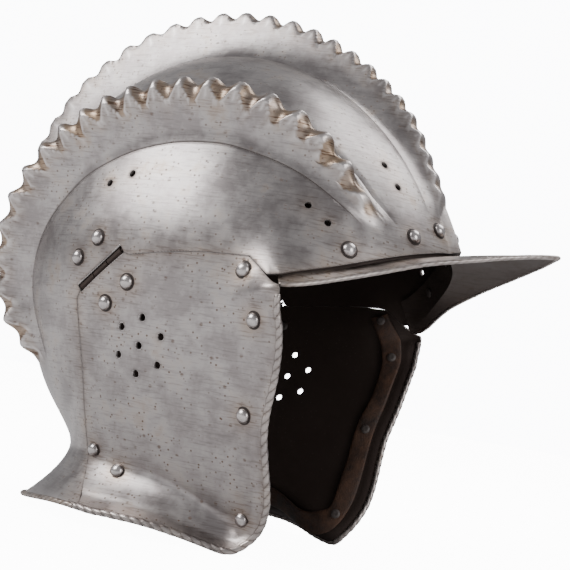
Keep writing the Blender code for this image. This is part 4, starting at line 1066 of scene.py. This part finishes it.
def make_cheek(side, material, rivet_places):
    word = side_name(side)
    y = np.arange(-.84 * CHEEK_REACH, .50 * CHEEK_REACH, CHEEK_STEP)
    z = np.arange(-1.01 * CHEEK_REACH, .50 * CHEEK_REACH, CHEEK_STEP)
    grid_y, grid_z = (v.ravel() for v in np.meshgrid(y, z, indexing="ij"))
    outer = cheek_point(grid_y, grid_z, side)
    inner = outer - cheek_skin_normal(grid_y, grid_z, side) * PLATE
    number = np.arange(len(outer)).reshape(len(y), len(z))
    a, b, c, d = (v.ravel() for v in (number[:-1, :-1], number[1:, :-1], number[1:, 1:], number[:-1, 1:]))
    triangles = np.concatenate([np.stack([a, b, c], 1), np.stack([a, c, d], 1)])
    plan = np.stack([grid_y, grid_z], axis=1)
    edge, under = cheek_outline()
    outline = np.minimum(inside_distance(plan, edge), inside_distance(plan, under))
    near = (outline > -3 * CHEEK_STEP)[triangles].all(axis=1)
    wear_and_light = np.zeros((len(outer), 4))
    wear_and_light[:, 3] = outline
    sheet = Sheet(outer, inner, wear_and_light, triangles[near])
    holes = cheek_holes(side)

    def field(points):
        value = sheet.wear_and_light[:len(points), 3]
        value = np.minimum(value, hole_field(points, holes))
        return np.minimum(value, slot_field(points, side))

    sheet.tidy()
    sheet.refine(field, EDGE_STEP, 2)
    value = field(sheet.outer)
    first_new = sheet.clip(field)
    sheet.round_holes(holes, first_new)
    outline = np.maximum(sheet.wear_and_light[:, 3], 0)
    sheet.wear_and_light[:, 3] = 0
    sheet.darken(0, .8 * spot_wear(sheet.outer, rivet_places, CHEEK_RIVET_STAIN))
    sheet.darken(0, .45 * fading(outline, EDGE_STAIN))
    sheet.darken(1, .75 * fading(outline, EDGE_DARKENING))
    sheet.darken(1, .7 * fading(np.maximum(value, 0), EDGE_DARKENING))
    sheet.tidy()
    cheek = add_object(f"cheek_plate_{word}", *sheet.solid(), material, f"cheekpiece_{word}")
    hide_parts(f"cheek_{word}")
    return cheek


def cheek_rope_path(side):
    """Free edge of a cheekpiece below its plain top corner, to the seam."""
    line = FREE_EDGE[FREE_EDGE[:, 1] < ROPING_TOP * CHEEK_REACH]
    under = cheek_outline()[1]
    line = offset_line(line[inside_distance(line, under) > .0002], ROPE_LIFT)
    y, z = line.T
    return cheek_point(y, z, side) - cheek_skin_normal(y, z, side) * PLATE / 2


def make_peak(material):
    """Brow peak: a band up inside the bowl, a bend under its edge and a brim."""
    rows = curve_through(PEAK_PLAN, 70)
    brow, breadth, reach, fall = np.concatenate([rows[:0:-1], rows]).T
    side = np.concatenate([-np.ones(len(rows) - 1), np.ones(len(rows))])
    y = brow_place(brow * HALF_WIDTH)
    z = brow_height(y)
    angle, share = bowl_share(y, z)
    lateral = side * np.arccos(share**(BOXY / 2))
    up = np.degrees(PEAK_FLANGE / (middle_radius(angle) * np.maximum(share, .45)))
    sunk = PLATE + GAP + FLATS
    band = []
    for turn in np.linspace(1, .25, 6):
        point = bowl_point(angle - turn * up, lateral)
        normal = bowl_normal(angle - turn * up, lateral)
        band.append((point - normal * sunk, point - normal * (sunk + PLATE)))
    foot = bowl_point(angle, lateral)
    flat = level(bowl_normal(angle, lateral))
    root = foot - flat * sunk
    root[:, 2] = np.minimum(z, brow_height(root[:, 1])) - 2 * GAP
    bend = foot - flat * (sunk + PLATE)
    bend[:, 2] = root[:, 2] - PLATE
    edge = stacked(side * breadth * HALF_WIDTH, y - reach * PEAK_LENGTH, z - fall * PEAK_DROOP)
    out = unit(edge - root)
    over = unit(np.array((0, 0, 1)) - out * out[:, 2:])
    top = []
    bottom = []
    for share in np.linspace(0, 1, 12):
        crown = PEAK_CROWN * 4 * share * (1 - share) * np.clip(reach, .02, 1)[:, None]
        top.append(root + (edge - root) * share + over * crown)
        low = bend + (edge - over * PLATE - bend) * share + over * crown
        bottom.append(low)
    ring = [outer for outer, _ in band] + top + bottom[::-1] + [inner for _, inner in band[::-1]]
    points = np.stack(ring, axis=1)
    count, size = points.shape[:2]
    quads, caps = tube_faces(count, size)
    wear_and_light = np.zeros((count, size, 4))
    wear_and_light[:, :len(band) + 1, 3] = 1
    wear_and_light[:, :, 0] = .5
    # Darker row at the brim's root, where it goes under the brow edge
    wear_and_light[:, len(band), 1] = .9
    wear_and_light[:, len(band) + len(top):, 3] = .92
    peak = add_object(
        "peak_plate", points.reshape(-1, 3), quads.tolist() + caps, wear_and_light.reshape(-1, 4), material, "helmet",
    )
    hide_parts("peak")
    return edge - over * PLATE / 2


def make_rivet(node, place, normal, layer, material, body):
    """Domed rivet: dark ring, head with a painted highlight, shank through the plates and tail spread inside.
    """
    head = RIVET_HEAD / 2
    tail = -(PLATE + layer + 2 * GAP + 2 * FLATS)
    dome = [
        (head * math.cos(a), .0004 + RIVET_RISE * math.sin(a)) for a in np.radians(np.linspace(0, 84, 9))
    ]
    profile = [
        (RIVET_TAIL / 2 * .6, tail - RIVET_TAIL_THICK), (RIVET_TAIL / 2, tail - RIVET_TAIL_THICK * .4),
        (RIVET_TAIL / 2, tail), (RIVET_SHANK / 2, tail), (RIVET_SHANK / 2, -.0001),
        (head + RIVET_RING, -.0001), (head + RIVET_RING, .00012), (head - .0002, .00018), (head, .0004),
    ] + dome[1:]
    # Darker tail, shank and ring round the head's foot
    grime_and_shade = [.9, .9, .9, .9, .9, 1, 1, 1, .75] + [.15] + [0] * (len(dome) - 2)
    sides = 24
    across = unit(np.cross(normal, (0, 0, 1.0)))
    over = np.cross(normal, across)
    turn = np.linspace(0, 2 * np.pi, sides, endpoint=False)
    ring = np.cos(turn)[:, None] * across + np.sin(turn)[:, None] * over
    points = [place + radius * ring + height * normal for radius, height in profile]
    size = len(profile)
    faces = turned_tube_faces(size, sides)
    wear_and_light = np.zeros((size, sides, 4))
    wear_and_light[:, :, 1] = np.array(grime_and_shade)[:, None]
    # Painted highlight on the upper dome
    wear_and_light[:, :, 2] = np.array([0] * 12 + [.5] * (size - 12))[:, None]
    rivet = add_object(f"{node}_head", np.concatenate(points), faces, wear_and_light.reshape(-1, 4), material, body, 50)
    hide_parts(node)


def skull_rivet_list(side):
    word = side_name(side)
    rivets = []
    for index, (x, z) in enumerate(BROW_RIVETS, 1):
        height = z * CHEEK_REACH
        seat = on_bowl(front_place(x * HALF_WIDTH, height), height, side)
        rivets.append((f"brow_rivet_{word}_{index}", *seat, PLATE))
    for index, (y, z) in enumerate(scaled(SKULL_HINGE_RIVETS), 1):
        rivets.append((f"hinge_skull_rivet_{word}_{index}", *on_bowl(y, z, side), HINGE_LEAF))
    return rivets


def cheek_rivet_list(side):
    word = side_name(side)
    rivets = []
    for kind, table, layer in (
        ("hinge_cheek", CHEEK_HINGE_RIVETS, HINGE_LEAF), ("lining", STRAP_RIVETS, STRAP_EASE + STRAP_THICK),
    ):
        for index, (y, z) in enumerate(scaled(table), 1):
            place, normal = cheek_point(y, z, side), cheek_skin_normal(y, z, side)
            rivets.append((f"{kind}_rivet_{word}_{index}", place, normal, layer))
    return rivets


def make_strap(side, material):
    """Leather strap inside a cheekpiece, with rounded edges and a slight wave."""
    word = side_name(side)
    line = spaced(scaled(curve_through(STRAP_LINE, 120)), STRAP_STEP)
    y, z = line.T
    place = cheek_point(y, z, side)
    normal = cheek_skin_normal(y, z, side)
    across = unit(np.cross(unit(np.gradient(place, axis=0)), normal))
    distance = np.arange(len(line)) * STRAP_STEP
    loops = []
    for turn in np.linspace(0, 2 * np.pi, 20, endpoint=False):
        wide = np.sign(math.cos(turn)) * abs(math.cos(turn))**.5
        thick = np.sign(math.sin(turn)) * abs(math.sin(turn))**.6
        reach = wide * STRAP_WIDTH / 2 * (1 + .04 * np.sin(distance / .011))
        spot = place + across * reach[:, None]
        spot[:, 0] = cheek_point(spot[:, 1], spot[:, 2], side)[:, 0]
        slope = cheek_skin_normal(spot[:, 1], spot[:, 2], side)
        wave = STRAP_WAVE * (1 + np.sin(distance / .007 + wide))
        depth = PLATE + GAP + STRAP_EASE + STRAP_THICK * (.5 - thick / 2) + wave
        loops.append(spot - slope * depth[:, None])
    points = np.stack(loops, axis=1)
    count, size = points.shape[:2]
    quads, caps = tube_faces(count, size)
    if side < 0:
        quads = quads[:, ::-1]
    faces = quads.tolist() + caps
    wear_and_light = np.zeros((count * size, 4))
    body = f"cheekpiece_{word}"
    strap = add_object(f"strap_{word}", points.reshape(-1, 3), faces, wear_and_light, material, body, 60)
    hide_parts(f"lining_strap_{word}")


class Graph:
    """A material's node tree, with short calls for what is used often."""

    def __init__(self, name):
        self.material = bpy.data.materials.new(name)
        self.material.use_nodes = True
        self.tree = self.material.node_tree
        self.shader = self.tree.nodes["Principled BSDF"]
        self.place = self.tree.nodes.new("ShaderNodeTexCoord").outputs["Object"]

    def feed(self, socket, value):
        if isinstance(value, bpy.types.NodeSocket):
            self.tree.links.new(value, socket)
        elif isinstance(value, tuple):
            socket.default_value = (*value, 1.0) if len(value) == 3 and socket.type == "RGBA" else value
        else:
            socket.default_value = value

    def stretched(self, stretch):
        node = self.tree.nodes.new("ShaderNodeMapping")
        self.feed(node.inputs["Vector"], self.place)
        node.inputs["Scale"].default_value = stretch
        return node.outputs["Vector"]

    def noise(self, scale, detail=4, roughness=.55, stretch=None):
        node = self.tree.nodes.new("ShaderNodeTexNoise")
        self.feed(node.inputs["Vector"], self.stretched(stretch) if stretch else self.place)
        node.inputs["Scale"].default_value = scale
        node.inputs["Detail"].default_value = detail
        node.inputs["Roughness"].default_value = roughness
        return node.outputs["Fac"]

    def cells(self, scale):
        node = self.tree.nodes.new("ShaderNodeTexVoronoi")
        self.feed(node.inputs["Vector"], self.place)
        node.inputs["Scale"].default_value = scale
        return node.outputs["Distance"]

    def between(self, value, low, high, out_low=0.0, out_high=1.0):
        """Map a value's range onto another, clamped."""
        node = self.tree.nodes.new("ShaderNodeMapRange")
        self.feed(node.inputs["Value"], value)
        limits = {"From Min": low, "From Max": high, "To Min": out_low, "To Max": out_high}
        for name, number in limits.items():
            node.inputs[name].default_value = number
        return node.outputs["Result"]

    def mix(self, factor, first, second):
        node = self.tree.nodes.new("ShaderNodeMix")
        node.data_type = "RGBA"
        self.feed(node.inputs[0], factor)
        self.feed(node.inputs[6], first)
        self.feed(node.inputs[7], second)
        return node.outputs[2]

    def math(self, operation, first, second):
        node = self.tree.nodes.new("ShaderNodeMath")
        node.operation = operation
        node.use_clamp = operation != "ADD"
        self.feed(node.inputs[0], first)
        self.feed(node.inputs[1], second)
        return node.outputs[0]

    def wear_and_light(self):
        node = self.tree.nodes.new("ShaderNodeAttribute")
        node.attribute_name = WEAR_AND_LIGHT
        split = self.tree.nodes.new("ShaderNodeSeparateColor")
        self.feed(split.inputs[0], node.outputs["Color"])
        return (*split.outputs, node.outputs["Alpha"])

    def bump(self, height, distance, strength, under=None):
        node = self.tree.nodes.new("ShaderNodeBump")
        node.inputs["Strength"].default_value = strength
        node.inputs["Distance"].default_value = distance
        self.feed(node.inputs["Height"], height)
        if under is not None:
            self.feed(node.inputs["Normal"], under)
        return node.outputs["Normal"]

    def finish(self, colour, roughness, metallic, normal):
        self.feed(self.shader.inputs["Base Color"], colour)
        self.feed(self.shader.inputs["Roughness"], roughness)
        self.feed(self.shader.inputs["Metallic"], metallic)
        self.feed(self.shader.inputs["Normal"], normal)
        return self.material


def steel_material(name, pitting, staining, roughness, shade=1.0):
    """Old polished steel with mottling, polishing lines, pits and brown patina, and the painted highlights
    and painted shade stored at the points.
    """
    g = Graph(name)
    tan, grime_and_shade, highlight_and_wear, inside = g.wear_and_light()
    cloud = g.noise(48, 4, .68)
    lines = g.noise(1, 2, .65, (90, 90, 1100))
    light = tuple(shade * c for c in LIGHT_STEEL)
    middle = tuple(shade * c for c in MID_STEEL)
    colour = g.mix(g.between(cloud, .38, .62), middle, light)
    colour = g.mix(g.between(lines, .50, .72, 0, .40), colour, DARK_STEEL)
    colour = g.mix(g.between(cloud, .56, .70, 0, staining), colour, TAN)
    colour = g.mix(g.math("MULTIPLY", tan, g.between(cloud, .35, .60, .35, .9)), colour, TAN)
    colour = g.mix(g.math("MULTIPLY", tan, g.between(lines, .52, .62, 0, .8)), colour, BROWN)
    fine = g.math("MULTIPLY", g.between(g.cells(330), .24, .10), g.between(cloud, .42, .54, 0, pitting))
    streaks = g.between(lines, .40, .55, 0, pitting * .8)
    coarse = g.math("MULTIPLY", g.between(g.cells(150), .19, .09), streaks)
    pits = g.math("MAXIMUM", fine, coarse)
    colour = g.mix(pits, colour, BROWN)
    # Painted highlight, partly polished wear
    colour = g.mix(highlight_and_wear, colour, tuple(min(1, 1.3 * c) for c in light))
    # Grime, darker edges and rivet rings, and painted shade in creases and grooves
    colour = g.mix(grime_and_shade, colour, GRIME_AND_SHADE)
    colour = g.mix(inside, colour, INSIDE)
    rough = g.between(cloud, .3, .7, roughness - .05, roughness + .08)
    rough = g.math("ADD", rough, g.between(g.math("MAXIMUM", grime_and_shade, inside), 0, 1, 0, .3))
    dull = g.math("MAXIMUM", g.math("MULTIPLY", inside, .55), g.math("MAXIMUM", grime_and_shade, pits))
    metallic = g.math("SUBTRACT", 1.0, g.math("MULTIPLY", dull, .8))
    normal = g.bump(g.noise(70, 2, .6), .0005, .30)
    return g.finish(colour, rough, metallic, normal)


def leather_material():
    g = Graph("old_leather")
    grain = g.cells(900)
    cloud = g.noise(90, 5, .65)
    colour = g.mix(g.between(cloud, .35, .65), LEATHER_DARK, LEATHER)
    colour = g.mix(g.between(grain, .3, .05, 0, .5), colour, LEATHER_DARK)
    normal = g.bump(g.between(grain, 0, .5), .0003, .5)
    return g.finish(colour, g.between(cloud, .3, .7, .55, .75), 0.0, normal)


def seen_strength(tree, socket, lighting, seen):
    """One strength where something lights the object and another where it is looked at."""
    strength = tree.nodes.new("ShaderNodeMapRange")
    tree.links.new(tree.nodes.new("ShaderNodeLightPath").outputs["Is Camera Ray"], strength.inputs["Value"])
    strength.inputs["To Min"].default_value = lighting
    strength.inputs["To Max"].default_value = seen
    tree.links.new(strength.outputs["Result"], socket)


def floor_material():
    g = Graph("pale_floor")
    g.shader.inputs["Emission Color"].default_value = (1, 1, 1, 1)
    seen_strength(g.tree, g.shader.inputs["Emission Strength"], 0, BACKDROP_LIGHT)
    g.shader.inputs["Base Color"].default_value = (*FLOOR, 1.0)
    g.shader.inputs["Roughness"].default_value = .9
    return g.material


def restyle(nodes, material):
    """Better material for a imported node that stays."""
    for name in nodes:
        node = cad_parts[name]
        node.data.materials.clear()
        node.data.materials.append(material)


# Camera: focal length in pixels of the 570 px frame, its place and its right, up and back directions
FRAME_SIZE = 570.0
FOCAL = 1200.0
SENSOR = 36.0
EYE = (-.58417881, -.31374357, -.07224473)
EYE_RIGHT = (.425991679, -.904727080, 0.0)
EYE_UP = (-.156162449, -.0735292505, .984990730)
EYE_BACK = (-.891147787, -.419597855, -.172607246)


def add_camera():
    data = bpy.data.cameras.new("camera")
    data.sensor_width = SENSOR
    data.sensor_fit = "HORIZONTAL"
    data.lens = SENSOR * FOCAL / FRAME_SIZE
    data.clip_start = .01
    camera = bpy.data.objects.new("camera", data)
    bpy.context.collection.objects.link(camera)
    axes = [Vector(stand_direction(v)) for v in (EYE_RIGHT, EYE_UP, EYE_BACK)]
    turn = Matrix(axes).transposed().to_4x4()
    camera.matrix_world = Matrix.Translation(Vector(stand(EYE))) @ turn
    bpy.context.scene.camera = camera


def add_light(name, place, target, size, power, colour=(1, 1, 1)):
    data = bpy.data.lights.new(name, "AREA")
    data.shape = "RECTANGLE"
    data.size, data.size_y = size
    data.energy = power
    data.color = colour
    light = bpy.data.objects.new(name, data)
    light.location = place
    light.rotation_euler = (Vector(target) - Vector(place)).to_track_quat("-Z", "Y").to_euler()
    bpy.context.collection.objects.link(light)


def add_stage():
    """Pale floor, pale surroundings and soft boxes."""
    bpy.ops.mesh.primitive_circle_add(vertices=64, radius=8, fill_type="NGON", location=(0, 0, 0))
    floor = bpy.context.object
    floor.name = "floor"
    floor.data.materials.append(floor_material())
    world = bpy.data.worlds.new("studio")
    bpy.context.scene.world = world
    world.use_nodes = True
    background = world.node_tree.nodes["Background"]
    background.inputs["Color"].default_value = (.97, .975, 1.0, 1.0)
    seen_strength(world.node_tree, background.inputs["Strength"], SURROUND_LIGHT, BACKDROP_LIGHT)
    middle = (0, 0, .15)
    add_light("key", (-1.0, .9, 1.0), middle, (.9, .9), 22)
    add_light("front", (-.6, -1.5, .5), middle, (.7, .9), 9)
    add_light("top", (.6, -.5, 1.4), middle, (.9, .9), 11)


def build():
    steel = steel_material("worn_steel", .75, .45, .33)
    cheek_steel = steel_material("pitted_steel", 1.0, .35, .36)
    rope_steel = steel_material("roped_steel", .4, .5, .34)
    rivet_steel = steel_material("rivet_steel", .35, .15, .24, 1.1)
    hinge_steel = steel_material("hinge_steel", .5, .5, .36, 1.1)
    leather = leather_material()

    skull_rivets = skull_rivet_list(1) + skull_rivet_list(-1)
    make_skull(steel, [rivet[1] for rivet in skull_rivets])
    for rivet in skull_rivets:
        make_rivet(*rivet, rivet_steel, "helmet")
    make_rope("nape_roping", nape_path(), NAPE_ROPE, rope_steel, "helmet", brown=.6)
    peak_edge = make_peak(steel)
    make_rope("peak_roping", peak_edge, PEAK_ROPE, rope_steel, "helmet", brown=.35)
    for side in (1, -1):
        word = side_name(side)
        rivets = cheek_rivet_list(side)
        make_cheek(side, cheek_steel, [rivet[1] for rivet in rivets])
        for rivet in rivets:
            make_rivet(*rivet, rivet_steel, f"cheekpiece_{word}")
        make_rope(
            f"cheek_roping_{word}", cheek_rope_path(side), CHEEK_ROPE, rope_steel, f"cheekpiece_{word}",
            2 * side,
        )
        make_strap(side, leather)
        middle, axis, up, out = hinge_frame(side)
        slot = middle + up * SLOT_WIDTH / 2 + out * HINGE_BARREL * HINGE_SINK
        ends = np.linspace(-SLOT_LENGTH / 2, SLOT_LENGTH / 2, 40)[:, None]
        make_rope(f"slot_beading_{word}", slot + axis * ends, SLOT_ROPE, rope_steel, "helmet", brown=0)
        restyle([f"hinge_skull_leaf_{word}", f"hinge_cheek_leaf_{word}", f"hinge_pin_{word}"], hinge_steel)
    add_camera()
    add_stage()


build()
